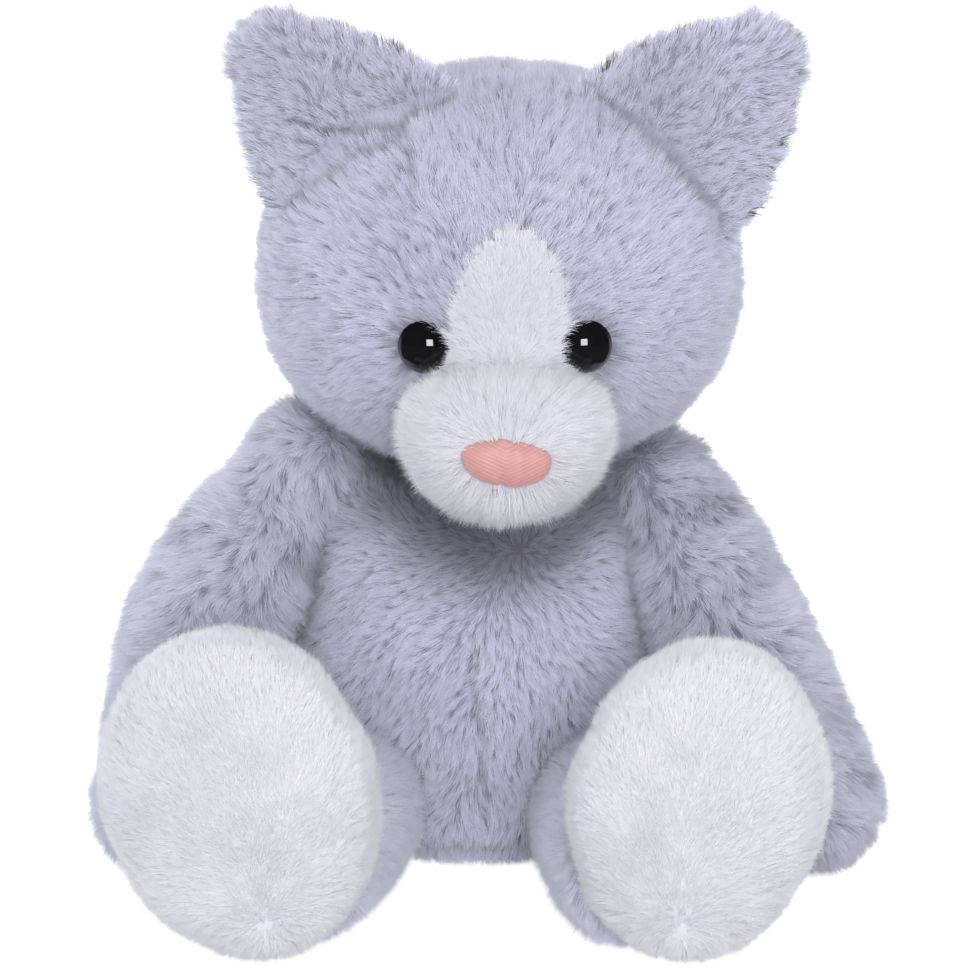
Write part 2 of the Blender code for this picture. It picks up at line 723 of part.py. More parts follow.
def make_cat():
    looks = {
        "gray": material("gray_plush", GRAY_PLUSH, 0.95),
        "white": material("white_plush", WHITE_PLUSH, 0.95),
        "satin": material("pink_satin", PINK_SATIN, 0.45),
        "thread": material("pink_thread", PINK_THREAD, 0.60),
        "black": material("black_gloss", BLACK_GLOSS, 0.05),
        "washer": material("white_washer", WASHER_WHITE, 0.40),
        "filling": material("white_filling", FILLING_WHITE, 1.00),
        "pellets": material("pellet_cloth", PELLET_CLOTH, 0.90),
    }
    neck = empty_at("neck", Matrix.Translation(NECK_PIVOT))
    tools = {"neck": make_neck(looks, neck)}

    head = empty_at("head_place", Matrix.Translation(HEAD_CENTRE - NECK_PIVOT), neck)
    muzzle = empty_at("muzzle_place", Matrix.Translation(MUZZLE_CENTRE - NECK_PIVOT), neck)
    head_cutter = cutter("head_clearance", head_rows(), HEAD_SEGMENTS, head)
    head_pieces = make_head(looks, head, tools["neck"])
    make_muzzle(looks, muzzle, head_cutter, make_nose(looks, neck))
    make_nose_thread(looks, neck)

    for side, sign, shape in SIDES:
        make_eye(side, sign, looks, neck, head_pieces)
        make_ear(side, sign, shape, looks, neck, head_cutter)
        tools[f"shoulder_{side}"] = make_arm(side, sign, shape, looks)
        tools[f"hip_{side}"] = make_leg(side, sign, shape, looks)
    tools["tail"] = make_tail(looks)
    make_torso(looks, tools)


make_cat()
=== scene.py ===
"""The looks of a seated plush cat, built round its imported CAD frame.

Each fabric panel of the frame is replaced by a piece of the same name with "_plush" added: a smooth
skin with its pile, which is fine tapered strands gathered in tufts and combed as the fabric lies.
Metres, +Z up. The cat faces -Y and its own left side is at +X.
"""

import math
from dataclasses import dataclass
from functools import partial

import bpy
import numpy as np
from mathutils import Matrix, Vector


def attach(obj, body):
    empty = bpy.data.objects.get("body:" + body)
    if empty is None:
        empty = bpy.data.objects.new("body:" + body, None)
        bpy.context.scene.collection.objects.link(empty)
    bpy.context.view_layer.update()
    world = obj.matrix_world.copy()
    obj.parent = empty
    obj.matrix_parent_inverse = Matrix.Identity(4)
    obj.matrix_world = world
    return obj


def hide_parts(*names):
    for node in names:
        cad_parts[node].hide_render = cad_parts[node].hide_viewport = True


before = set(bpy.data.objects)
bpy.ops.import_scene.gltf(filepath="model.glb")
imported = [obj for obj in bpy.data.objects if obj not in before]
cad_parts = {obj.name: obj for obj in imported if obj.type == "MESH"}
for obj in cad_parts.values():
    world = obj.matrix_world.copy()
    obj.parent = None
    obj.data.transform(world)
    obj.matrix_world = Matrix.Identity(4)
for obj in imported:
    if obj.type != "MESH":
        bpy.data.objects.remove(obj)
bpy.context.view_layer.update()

SEED = 20
FLOOR_CLEARANCE = 0.0003
CLEAR = 0.97  # pile grows no deeper than this in another form, 1 being its skin
MUZZLE_CLEAR = 0.93

# The forms repeat the frame's own sizes, so each skin lies where its CAD panels do.
HEAD_CENTRE = Vector((0.006, 0.000, 0.176))
HEAD_HALF = Vector((0.072, 0.058, 0.0635))
HEAD_LOW = 0.057
CROWN_SQUARENESS = 2.12  # 2 is round, and more is nearer to a box
CHEEK_SQUARENESS = 2.2
NECK_PIVOT = Vector((0.003, -0.002, 0.133))
BLAZE_HALF = 0.015
CROWN_SEAM_Y = 0.004
MUZZLE_CENTRE = Vector((0.0075, -0.054, 0.1365))
MUZZLE_HALF = Vector((0.0280, 0.027, 0.0210))
MUZZLE_TAPER = 0.12
MUZZLE_SQUARENESS = 2.2
CHIN_SEAM = (0, 0, -0.009)
NOSE_CENTRE = Vector((0.0077, -0.0795, 0.1348))
NOSE_HALF = Vector((0.0130, 0.0050, 0.0072))
NOSE_TAPER = 0.16
NOSE_SQUARENESS = 2.3
NOSE_SLANT = 0.12  # its left end hangs a little lower
NOSE_OVERGROWN = 0.16
NOSE_RAGGED = 0.0003
NOSE_ARCH = 0.0010  # how far its top edge falls at its ends
NOSE_LUMPS = 0.00025
NOSE_PINCH = 0.0009
NOSE_STITCH = -0.25  # where the stitch under it lies, as a share of its half width
EYE_SPACING = 0.0470
EYE_MIDDLE_X = 0.0074
EYE_Z = 0.1640
EYE_RADIUS = 0.0081
EYE_HEIGHT = 0.0066
EAR_TALL = 0.053
EAR_HALF_WIDE = 0.031
EAR_HALF_THICK = 0.0050
EAR_ROOT = 0.016
EAR_ROOT_WIDE = 0.98
EAR_OUTLINE = ((0, 1), (0.30, 0.93), (0.60, 0.67), (0.82, 0.41))  # shares of its height and width
EAR_CUP = 0.008
EAR_TIP_FALL = 0.006
TIP_ROWS = 8
TORSO_STATIONS = (
    (0.000, 0.043, 0.038),
    (0.006, 0.052, 0.046),
    (0.022, 0.060, 0.052),
    (0.050, 0.061, 0.053),
    (0.080, 0.054, 0.049),
    (0.101, 0.048, 0.042),
    (0.113, 0.036, 0.031),
)
TORSO_TOP = 0.1155
BASE_SEAM = 0.009
ARM_ROOT_RADIUS = 0.0155
ARM_STATIONS = (
    (0.000, 0.0155, 0.0155),
    (0.022, 0.0200, 0.0195),
    (0.050, 0.0220, 0.0215),
    (0.080, 0.0205, 0.0220),
    (0.106, 0.0185, 0.0215),
)
ARM_TIP = 0.019
LEG_ROOT_RADIUS = 0.020
LEG_STATIONS = (
    (0.000, 0.0200, 0.0200),
    (0.030, 0.0215, 0.0208),
    (0.060, 0.0215, 0.0208),
    (0.080, 0.0190, 0.0190),
)
LEG_TIP = 0.010
SOLE_SPLAY = math.radians(7)
SOLE_TILT = math.radians(8)
FOOT_HALF_THICK = 0.022
ANKLE_TO_FOOT = (0.019, -0.020, 0.0240)
FOOT_SQUARENESS = 2.9
SOLE_SEAM = 0.009
TAIL_PIVOT = Vector((0.0, 0.048, 0.0145))
TAIL_ROOT_RADIUS = 0.0090
TAIL_STATIONS = ((0.000, 0.0090, 0.0090), (0.022, 0.0108, 0.0108), (0.072, 0.0118, 0.0118))
TAIL_TIP = 0.012
TAIL_TURN = math.radians(14)
TAIL_DROP = math.radians(1.5)
SIDES = (
    ("right", -1, {
        "shoulder": Vector((-0.0565, -0.005, 0.1120)),
        "flank_lean": math.radians(26),
        "arm_forward": math.radians(19),
        "arm_bow": (0.0, 0.0048, 0.0062, 0.0020, -0.0045),
        # painted light: the right arm's coat is lighter than the left's
        "arm_painted_light": 1.15,
        "arm_pad": 0.008,
        "hip": Vector((-0.037, -0.034, 0.0222)),
        "foot": Vector((-0.0680, -0.118, 0.0468)),
        "foot_half": (0.0375, 0.0463),
        "foot_roll": math.radians(18),
        "ear_base": Vector((-0.0330, -0.013, 0.2140)),
        "ear_lean": math.radians(42),
    }),
    ("left", 1, {
        "shoulder": Vector((0.0548, -0.005, 0.1100)),
        "flank_lean": math.radians(25),
        "arm_forward": math.radians(22),
        "arm_bow": (0.0, 0.0010, 0.0012, 0.0028, 0.0048),
        "arm_painted_light": 1.00,
        "arm_pad": 0.001,
        "hip": Vector((0.037, -0.034, 0.0222)),
        "foot": Vector((0.0620, -0.118, 0.0448)),
        "foot_half": (0.0350, 0.0443),
        "foot_roll": math.radians(13),
        "ear_base": Vector((0.0535, -0.013, 0.2145)),
        "ear_lean": math.radians(45),
    }),
)


# ---------------------------------------------------------------- shader nodes

def feed(tree, node, inputs):
    """Gives each input its value, or links it to the output that feeds it."""
    for socket, source in inputs:
        if isinstance(source, bpy.types.NodeSocket):
            tree.links.new(source, node.inputs[socket])
        else:
            node.inputs[socket].default_value = source


def add_node(tree, kind, inputs=(), **settings):
    made = tree.nodes.new(f"ShaderNode{kind}")
    for setting, value in settings.items():
        setattr(made, setting, value)
    feed(tree, made, inputs)
    return made


def add_ramp(tree, factor, stops):
    """The colour that a factor picks from stops of (position, colour)."""
    ramp = add_node(tree, "ValToRGB", [(0, factor)])
    elements = ramp.color_ramp.elements
    while len(elements) < len(stops):
        elements.new(0.5)
    for element, (position, colour) in zip(elements, stops):
        element.position = position
        element.color = (*colour, 1)
    return ramp.outputs["Color"]


def add_bump(tree, height, strength, distance):
    inputs = [("Strength", strength), ("Distance", distance), ("Height", height)]
    return add_node(tree, "Bump", inputs).outputs["Normal"]


def object_place(tree):
    return add_node(tree, "TexCoord").outputs["Object"]


def by_ray(tree, lighting, seen, mirrored):
    """A number that may differ in the light on the cat, to the camera, and in glossy surfaces."""
    path = add_node(tree, "LightPath")
    direct = add_node(tree, "Mix", [(0, path.outputs["Is Camera Ray"]), (2, lighting), (3, seen)])
    glossy = path.outputs["Is Glossy Ray"]
    return add_node(tree, "Mix", [(0, glossy), (2, direct.outputs[0]), (3, mirrored)]).outputs[0]


def new_material(name):
    made = bpy.data.materials.new(name)
    made.use_nodes = True
    return made, made.node_tree


def feed_shader(tree, roughness, inputs):
    feed(tree, tree.nodes["Principled BSDF"], [("Roughness", roughness), *inputs])


# ---------------------------------------------------------------- camera, light and floor

CAMERA_TARGET = Vector((0.0025, -0.030, 0.116))
CAMERA_DISTANCE = 1.15
CAMERA_DOWN = math.radians(13)
CAMERA_LENS = 139.83
SENSOR_WIDTH = 36
WHITE = (1.0, 1.0, 1.0, 1.0)
# strengths, each on the cat, to the camera, and in what its glossy eyes mirror
WORLD_STRENGTHS = (0.72, 1.0, 0.02)
FLOOR_GLOWS = (0.30, 0.90, 0.03)
FLOOR_PAINTS = (0.45, 0.45, 0.02)
FLOOR_SIZE = 6
FLOOR_DROP = 0.0004
LIGHTS = (  # name, place, target, size, power, and whether glossy surfaces mirror it
    ("softbox", (0.16, -1.20, 0.44), (0, 0, 0.12), 0.50, 11.5, True),
    ("overhead", (0.0, -0.5, 1.3), (0, 0, 0.12), 1.0, 1.5, False),
    ("fill", (-0.6, -1.2, 0.12), (0, 0, 0.08), 0.9, 4.5, False),
    ("rim_right", (-1.2, 0.45, 0.5), (0, 0, 0.12), 0.9, 7, False),
    ("rim_left", (1.2, 0.45, 0.5), (0, 0, 0.12), 0.9, 3, False),
    ("back", (0.2, 1.3, 0.6), (0, 0, 0.10), 1.0, 8, False),
)


def make_camera():
    data = bpy.data.cameras.new("camera")
    data.lens = CAMERA_LENS
    data.sensor_width = SENSOR_WIDTH
    camera = bpy.data.objects.new("camera", data)
    bpy.context.scene.collection.objects.link(camera)
    back = Vector((0, -math.cos(CAMERA_DOWN), math.sin(CAMERA_DOWN)))
    camera.location = CAMERA_TARGET + back * CAMERA_DISTANCE
    camera.rotation_euler = (math.pi / 2 - CAMERA_DOWN, 0, 0)
    bpy.context.scene.camera = camera


def area_light(name, place, target, size, power, mirrored):
    """A square softbox. Only a mirrored one shows in glossy surfaces."""
    data = bpy.data.lights.new(name, "AREA")
    data.shape = "SQUARE"
    data.size = size
    data.energy = power
    light = bpy.data.objects.new(name, data)
    bpy.context.scene.collection.objects.link(light)
    light.location = place
    light.rotation_euler = (Vector(target) - Vector(place)).to_track_quat("-Z", "Y").to_euler()
    light.visible_glossy = mirrored


def make_world():
    """White to the camera, softer on the cat, and dim in what its glossy eyes mirror."""
    world = bpy.data.worlds.new("studio")
    bpy.context.scene.world = world
    world.use_nodes = True
    tree = world.node_tree
    strength = by_ray(tree, *WORLD_STRENGTHS)
    feed(tree, tree.nodes["Background"], [("Color", WHITE), ("Strength", strength)])


def make_floor():
    """Pale and lit from within, so that only a faint shadow lies under the cat."""
    bpy.ops.mesh.primitive_plane_add(size=FLOOR_SIZE, location=(0, 0, -FLOOR_DROP))
    floor = bpy.context.object
    floor.name = "floor"
    look, tree = new_material("floor_white")
    feed_shader(tree, 0.9, [
        ("Specular IOR Level", 0.0),
        ("Base Color", by_ray(tree, *FLOOR_PAINTS)),
        ("Emission Color", WHITE),
        ("Emission Strength", by_ray(tree, *FLOOR_GLOWS)),
    ])
    floor.data.materials.append(look)


def make_studio():
    make_camera()
    make_world()
    make_floor()
    for light in LIGHTS:
        area_light(*light)
    view = bpy.context.scene.view_settings
    view.view_transform = "Standard"
    view.look = "None"


# ---------------------------------------------------------------- materials

# the pile's colour from root to tip: the gray or white fabric, with painted shade darkening it
# towards the roots
GRAY_RAMP = (
    (0.00, (0.175, 0.165, 0.230)),
    (0.30, (0.385, 0.380, 0.492)),
    (0.60, (0.538, 0.543, 0.680)),
    (1.00, (0.660, 0.670, 0.802)),
)
WHITE_RAMP = (
    (0.00, (0.54, 0.54, 0.60)),
    (0.30, (0.635, 0.635, 0.695)),
    (0.60, (0.695, 0.695, 0.76)),
    (1.00, (0.73, 0.73, 0.787)),
)
# a strand's shade is its lightness: it differs at random from strand to strand and tuft to tuft,
# painted shade in creases and shadows lowers it, down to 0 for the darkest, and painted light on some
# coats raises it; PLAIN_SHADE is the open coat
PLAIN_SHADE = 0.80
DARKEST = 0.25
LIGHTEST = 1.18


def pile_material(name, ramp, sheen):
    """Pile, with painted shade darkening it towards its roots. U of the strand's map is its own
    lightness, V runs up it.
    """
    made, tree = new_material(name)
    place = add_node(tree, "UVMap", uv_map="OFBake").outputs["UV"]
    split = add_node(tree, "SeparateXYZ", [(0, place)])
    colour = add_ramp(tree, split.outputs["Y"], ramp)
    inputs = [("To Min", DARKEST), ("To Max", LIGHTEST), ("Value", split.outputs["X"])]
    lightness = add_node(tree, "MapRange", inputs).outputs["Result"]
    scaled = add_node(tree, "VectorMath", [(0, colour), ("Scale", lightness)], operation="SCALE")
    feed_shader(tree, 0.85, [
        ("Base Color", scaled.outputs["Vector"]),
        ("Specular IOR Level", 0.25),
        ("Sheen Weight", sheen),
        ("Sheen Roughness", 0.5),
    ])
    return made


def eye_material():
    made, tree = new_material("black_eye")
    noise = add_node(tree, "TexNoise", [("Vector", object_place(tree)), ("Scale", 60)])
    tones = ((0, (0.002, 0.002, 0.002)), (1, (0.006, 0.006, 0.007)))
    feed_shader(tree, 0.03, [
        ("Base Color", add_ramp(tree, noise.outputs["Fac"], tones)),
        ("Specular IOR Level", 0.5),
        ("Coat Weight", 0.2),
        ("Coat Roughness", 0.02),
    ])
    return made


# ---------------------------------------------------------------- forms

def smooth_stations(stations, steps):
    """Rows between the stations, on Catmull-Rom curves through their numbers."""
    rows = []
    last = len(stations) - 1
    for i in range(last):
        before = np.array(stations[max(i - 1, 0)])
        start = np.array(stations[i])
        end = np.array(stations[i + 1])
        after = np.array(stations[min(i + 2, last)])
        for step in range(steps):
            t = step / steps
            rows.append(
                0.5 * (2 * start + (end - before) * t
                       + (2 * before - 5 * start + 4 * end - after) * t ** 2
                       + (3 * start - before - 3 * end + after) * t ** 3)
            )
    rows.append(np.array(stations[last]))
    return [(*row, 0)[:4] for row in rows]


def oval_rows(low, high, half_x, half_y, rings, squareness=2.0):
    """Rows of a superellipsoid from -low to high; squareness 2 is an ellipsoid."""
    rows = []
    power = 2 / squareness
    for i in range(rings + 1):
        polar = math.pi * i / rings
        reach = math.sin(polar) ** power if 0 < i < rings else 0.0
        rise = -math.copysign(abs(math.cos(polar)) ** power, math.cos(polar))
        rows.append((rise * (high if rise > 0 else low), half_x * reach, half_y * reach, 0))
    return rows


def tapered(half, taper, rings, squareness):
    """Rows of a superellipsoid that is wider above its middle and narrower below."""
    rows = oval_rows(half.z, half.z, half.x, half.y, rings, squareness)
    return [(z, x * (1 + taper * z / half.z), y, 0) for z, x, y, _ in rows]


def rounding(steps):
    """Shares of the rise and of the width over a rounded end, from its widest row to its tip."""
    for i in range(1, steps + 1):
        polar = math.pi / 2 * i / steps
        yield math.sin(polar), math.cos(polar) if i < steps else 0.0


def limb_rows(root_radius, stations, tip, steps=6, cap_rings=10):
    """Rows of a limb: a half ball round its joint, the stations, and a rounded end."""
    rows = []
    for i in range(cap_rings):
        polar = math.pi / 2 * i / cap_rings
        reach = root_radius * math.sin(polar)
        rows.append((-root_radius * math.cos(polar), reach, reach, 0))
    rows += smooth_stations(stations, steps)
    length, half_x, half_y, shift = rows[-1]
    for rise, shrink in rounding(cap_rings):
        rows.append((length + tip * rise, half_x * shrink, half_y * shrink, shift))
    return rows


def frame_along(origin, along, across):
    """A place whose Z axis points along, with its X axis as near to across as that allows."""
    z = Vector(along).normalized()
    y = z.cross(Vector(across)).normalized()
    x = y.cross(z)
    turn = Matrix((x, y, z)).transposed().to_4x4()
    return Matrix.Translation(origin) @ turn


def unit(vectors):
    length = np.linalg.norm(vectors, axis=-1, keepdims=True)
    return vectors / np.maximum(length, 1e-12)


def vertex_normals(points, triangles):
    corners = points[triangles]
    across = np.cross(corners[:, 1] - corners[:, 0], corners[:, 2] - corners[:, 0])
    normals = np.zeros_like(points)
    for corner in range(3):
        np.add.at(normals, triangles[:, corner], across)
    return unit(normals)


class Form:
    """A smooth closed skin lofted through rows of (height, half x, half y, shift along x)."""

    def __init__(self, rows, place, segments=72, bend=None):
        self.rows = np.array(rows, float)
        self.place = np.array(place, float)
        self.bend = bend
        rings = self.rows[1:-1]
        turn = np.linspace(0, 2 * math.pi, segments, endpoint=False)
        x = rings[:, 1:2] * np.cos(turn) + rings[:, 3:4]
        y = rings[:, 2:3] * np.sin(turn)
        z = np.repeat(rings[:, 0:1], segments, axis=1)
        body = np.stack([x, y, z], axis=-1).reshape(-1, 3)
        poles = [(self.rows[i][3], 0, self.rows[i][0]) for i in (0, -1)]
        self.local = np.concatenate([body, poles])
        self.triangles = self.loft_faces(len(rings), segments)
        local = self.local if bend is None else bend(self.local)
        self.points = local @ self.place[:3, :3].T + self.place[:3, 3]
        self.refresh()

    @staticmethod
    def loft_faces(rings, segments):
        column = np.arange(segments)
        following = (column + 1) % segments
        faces = []
        for ring in range(rings - 1):
            low = ring * segments
            high = low + segments
            faces.append(np.stack([low + column, low + following, high + following], axis=1))
            faces.append(np.stack([low + column, high + following, high + column], axis=1))
        bottom = rings * segments
        top_ring = (rings - 1) * segments
        ends = np.full(segments, bottom)
        faces.append(np.stack([following, column, ends], axis=1))
        faces.append(np.stack([top_ring + column, top_ring + following, ends + 1], axis=1))
        return np.concatenate(faces)

    def refresh(self):
        self.normals = vertex_normals(self.points, self.triangles)

    def push(self, amount):
        """Moves each point along its normal by its own amount."""
        self.points = self.points + self.normals * np.asarray(amount)[:, None]
        self.refresh()

    def to_local(self, points):
        return (points - self.place[:3, 3]) @ self.place[:3, :3]

    def depth(self, points):
        """How far out each point lies: 0 on the form's axis, 1 on its skin, more outside."""
        local = self.to_local(points)
        height, half_x, half_y, shift = self.rows.T
        z = local[:, 2]
        wide = np.maximum(np.interp(z, height, half_x, left=0, right=0), 1e-6)
        deep = np.maximum(np.interp(z, height, half_y, left=0, right=0), 1e-6)
        x = local[:, 0] - np.interp(z, height, shift)
        out = np.hypot(x / wide, local[:, 1] / deep)
        return np.where((z < height[0]) | (z > height[-1]), 9.0, out)


# seams through the middle of a form, named for the side of its own axes that they keep
TO_LEFT = ((0, 0, 0), (1, 0, 0))
TO_RIGHT = ((0, 0, 0), (-1, 0, 0))
TO_FRONT = ((0, 0, 0), (0, -1, 0))
TO_BACK = ((0, 0, 0), (0, 1, 0))


def sides_of(local, planes):
    """How far inside its seams each local point is; negative is outside. A seam is a plane, as
    (point, normal), or a function of the points."""
    room = np.full(len(local), 1.0)
    for seam in planes:
        if callable(seam):
            room = np.minimum(room, seam(local))
            continue
        point, normal = seam
        normal = np.array(normal, float)
        room = np.minimum(room, (local - np.array(point, float)) @ (normal / np.linalg.norm(normal)))
    return room


# ---------------------------------------------------------------- pile

def scattered(form, spacing, keep, rng):
    """Points spread evenly over a form's skin: one in each cell of a fine grid."""
    corners = form.points[form.triangles]
    area = np.linalg.norm(
        np.cross(corners[:, 1] - corners[:, 0], corners[:, 2] - corners[:, 0]), axis=1
    ) / 2
    count = int(area.sum() / spacing ** 2 * 4)
    chosen = rng.choice(len(area), count, p=area / area.sum())
    a = rng.random(count)
    b = rng.random(count)
    fold = a + b > 1
    a = np.where(fold, 1 - a, a)
    b = np.where(fold, 1 - b, b)
    weights = np.stack([1 - a - b, a, b], axis=1)[:, :, None]
    points = (corners[chosen] * weights).sum(axis=1)
    normals = unit((form.normals[form.triangles[chosen]] * weights).sum(axis=1))
    locals_ = (form.local[form.triangles[chosen]] * weights).sum(axis=1)
    cells = np.floor(points / (spacing * 1.15)).astype(np.int64)
    _, first = np.unique(cells, axis=0, return_index=True)
    first = np.sort(first)
    points, normals, locals_ = points[first], normals[first], locals_[first]
    kept = keep(points, normals, locals_)
    return points[kept], normals[kept], locals_[kept]


def smooth_noise(points, scale, seed):
    """A gentle random number from -1 to 1 that changes slowly from place to place."""
    rng = np.random.default_rng(seed)
    total = np.zeros(len(points))
    for _ in range(6):
        wave = unit(rng.normal(size=3)) * rng.uniform(0.6, 1.5) / scale
        total += np.sin(points @ wave * 2 * math.pi + rng.uniform(0, 2 * math.pi))
    return np.clip(total / 3, -1, 1)


def along_skin(directions, normals):
    return unit(directions - (directions * normals).sum(axis=1, keepdims=True) * normals)


def turned_about(directions, normals, angles):
    side = np.cross(normals, directions)
    return directions * np.cos(angles)[:, None] + side * np.sin(angles)[:, None]


@dataclass
class Pile:
    """How the fabric's pile grows: sizes in metres, lean in radians from upright."""

    length: float
    lean: float
    tuft: float = 0.0017
    strands: int = 24
    width: float = 0.00018
    gather: float = 0.36
    stray: float = 0.17
    swirl: float = 0.30
    whorl: float = 0.020
    contrast: float = 1.0
    round_limb: bool = False  # its strands are then seen from every side


# how far strands and tufts differ from one another, angles in radians and the rest as shares
LAY_DRIFT = 1.6
LAY_SPREAD = 0.16
LEAN_DRIFT = 0.14
LEAN_SPREAD = 0.08
LENGTH_SPREAD = 0.08
TUFT_SHADES = 0.05
STRAND_SHADES = 0.08
STRAND_LENGTHS = (0.66, 1.06)
STRAND_WIDTHS = (0.75, 1.2)
RUFFLE_LIMITS = (0.1, 1.6)
GATHERED = (0.6, 1.2)
FLAT_SPREAD = 0.30

ROOT_DEPTH = 0.0005
TUFT_FOOT = 0.72  # how far out a tuft's strands start, as a share of the tufts' spacing
TUFT_TIP = 0.25  # how much of that they keep at its tip
CREASED_LENGTH = 0.55
FLUFF = 0.10  # the share of strands that stand free of the coat
FLUFF_RISE = 0.6
FLUFF_THINNER = 0.4
SKIN_SHARE = 0.85  # a strand is lit mostly as the skin under it, and a little as its own blade
BLADE_SHARE = 0.25

FRONT = np.array((0.0, -0.974, 0.225))  # the side of its strands that the cat shows first
FRONT_PULL = 1.5  # how far their flat sides turn to it
ROUND_PULL = 0.9  # the same on a limb that is seen from all round
FRONT_EDGE = 0.15  # where that turn fades out, as the cosine of the angle from the front
UNSEEN_EDGE = 0.45  # where the coat of the unseen sides begins, again as a cosine
UNSEEN_FADE = 0.40
UNSEEN_STRANDS = 0.5  # behind and below, strands are fewer and broader
UNSEEN_WIDTH = 1.6
BLADE_THICK = 0.00003


def full(points):
    return np.ones(len(points))


def coat_of(form, pile, comb, keep, seed, part=full, ruffle=full):
    """Strands over a form: their curves, flat sides, soft normals, widths, shades and places.

    comb says which way they lie and keep where they grow. The painted shading argument is 1 in the
    open coat and falls towards 0 in creases and painted shadows, where the strands are short and
    carry painted shade; above 1 it is painted light. ruffle says how much they gather in tufts.
    """
    rng = np.random.default_rng(seed)
    roots, normals, locals_ = scattered(form, pile.tuft, keep, rng)
    tufts = len(roots)
    lay = along_skin(comb(roots, normals, locals_), normals)
    swirl = pile.swirl * smooth_noise(roots, pile.whorl, seed + 1) * LAY_DRIFT
    lay = turned_about(lay, normals, swirl + rng.normal(0, LAY_SPREAD, tufts))
    lean = pile.lean + LEAN_DRIFT * smooth_noise(roots, pile.whorl * 0.7, seed + 2)
    lean = lean + rng.normal(0, LEAN_SPREAD, tufts)
    length = pile.length * (1 + LENGTH_SPREAD * rng.normal(size=tufts))
    rise = normals * np.cos(lean)[:, None] + lay * np.sin(lean)[:, None]
    tips = roots + rise * length[:, None]
    gather = pile.gather * np.clip(ruffle(roots), *RUFFLE_LIMITS)
    tuft_shade = rng.normal(size=tufts) + smooth_noise(roots, 0.03, seed + 3)
    tuft_shade = TUFT_SHADES * tuft_shade

    # from here on, one row for each strand
    in_front = np.clip((normals @ FRONT + UNSEEN_EDGE) / UNSEEN_FADE, 0, 1)
    strands = np.round(pile.strands * (UNSEEN_STRANDS + (1 - UNSEEN_STRANDS) * in_front)).astype(int)
    owner = np.repeat(np.arange(tufts), strands)
    count = len(owner)
    n = normals[owner]
    t = lay[owner]
    side = np.cross(n, t)
    reach = pile.tuft * TUFT_FOOT * np.sqrt(rng.random(count))
    round_tuft = rng.uniform(0, 2 * math.pi, count)
    offset = t * (reach * np.cos(round_tuft))[:, None] + side * (reach * np.sin(round_tuft))[:, None]
    start = roots[owner] + offset - n * ROOT_DEPTH
    painted_shading_here = part(start)
    own_length = length[owner] * rng.uniform(*STRAND_LENGTHS, count)
    own_length *= CREASED_LENGTH + (1 - CREASED_LENGTH) * painted_shading_here
    loose = rng.normal(0, pile.stray, (count, 3))
    free = (rng.random(count) < FLUFF)[:, None]
    direction = unit(rise[owner] + loose + n * free * FLUFF_RISE)
    free_tip = start + direction * own_length[:, None]
    together = (gather[owner] * rng.uniform(*GATHERED, count))[:, None] * (1 - free)
    shared_tip = tips[owner] + offset * TUFT_TIP
    tip = free_tip * (1 - together) + shared_tip * together
    shade = tuft_shade[owner] + STRAND_SHADES * rng.normal(size=count)
    # painted shading: darker in creases and painted shadows, lighter on some whole coats
    shade = (PLAIN_SHADE + pile.contrast * shade) * painted_shading_here
    width = pile.width * rng.uniform(*STRAND_WIDTHS, count) * (1 - FLUFF_THINNER * free[:, 0])
    width *= UNSEEN_WIDTH + (1 - UNSEEN_WIDTH) * in_front[owner]

    lift = FLOOR_CLEARANCE + 0.0002 * rng.random(count)
    for ends in (start, tip):
        ends[:, 2] = np.maximum(ends[:, 2], lift)
    heading = unit(tip - start)
    to_front = np.clip((n @ FRONT + FRONT_EDGE) / (2 * FRONT_EDGE), 0, 1)
    pull = ROUND_PULL if pile.round_limb else FRONT_PULL
    shown = n + FRONT * (pull * to_front)[:, None]
    flat = unit(np.cross(heading, shown + rng.normal(0, FLAT_SPREAD, (count, 3))))
    facing = unit(np.cross(flat, heading))
    facing = np.where((facing * shown).sum(axis=1, keepdims=True) < 0, -facing, facing)
    return {
        "start": start,
        "tip": tip,
        "across": flat * width[:, None] / 2,
        "facing": facing,
        "soft": unit(n * SKIN_SHARE + facing * BLADE_SHARE),
        "shade": np.clip(shade, 0, 1),
        "local": locals_[owner],
        "part": part,
        "two_sided": pile.round_limb,
    }


def blades(strands, chosen):
    """The chosen strands as slim blades: points, triangles, normals and map places.

    A two-sided blade has a second triangle just behind the first, facing the other way.
    """
    start = strands["start"][chosen]
    tip = strands["tip"][chosen]
    across = strands["across"][chosen]
    facing = strands["facing"][chosen]
    corners = [start - across, start + across, tip]
    sides = [(0, 1, 2)]
    if strands["two_sided"]:
        behind = start - facing * BLADE_THICK
        corners += [behind - across, behind + across]
        sides.append((4, 3, 2))
    count = len(start)
    size = len(corners)
    points = np.stack(corners, axis=1).reshape(-1, 3)
    sides = np.array(sides)
    turned = (np.cross(across, tip - start) * facing).sum(axis=1) < 0
    faces = np.where(turned[:, None, None], sides[:, ::-1], sides)
    faces = (faces + size * np.arange(count)[:, None, None]).reshape(-1, 3)
    normals = np.repeat(strands["soft"][chosen], size, axis=0)
    shade = np.repeat(strands["shade"][chosen], size)
    climb = np.tile((0.0, 0.0, 1.0, 0.0, 0.0)[:size], count)
    # the map stays a little inside its square
    uv = 0.02 + 0.96 * np.stack([shade, climb], axis=1)
    return points, faces, normals, uv


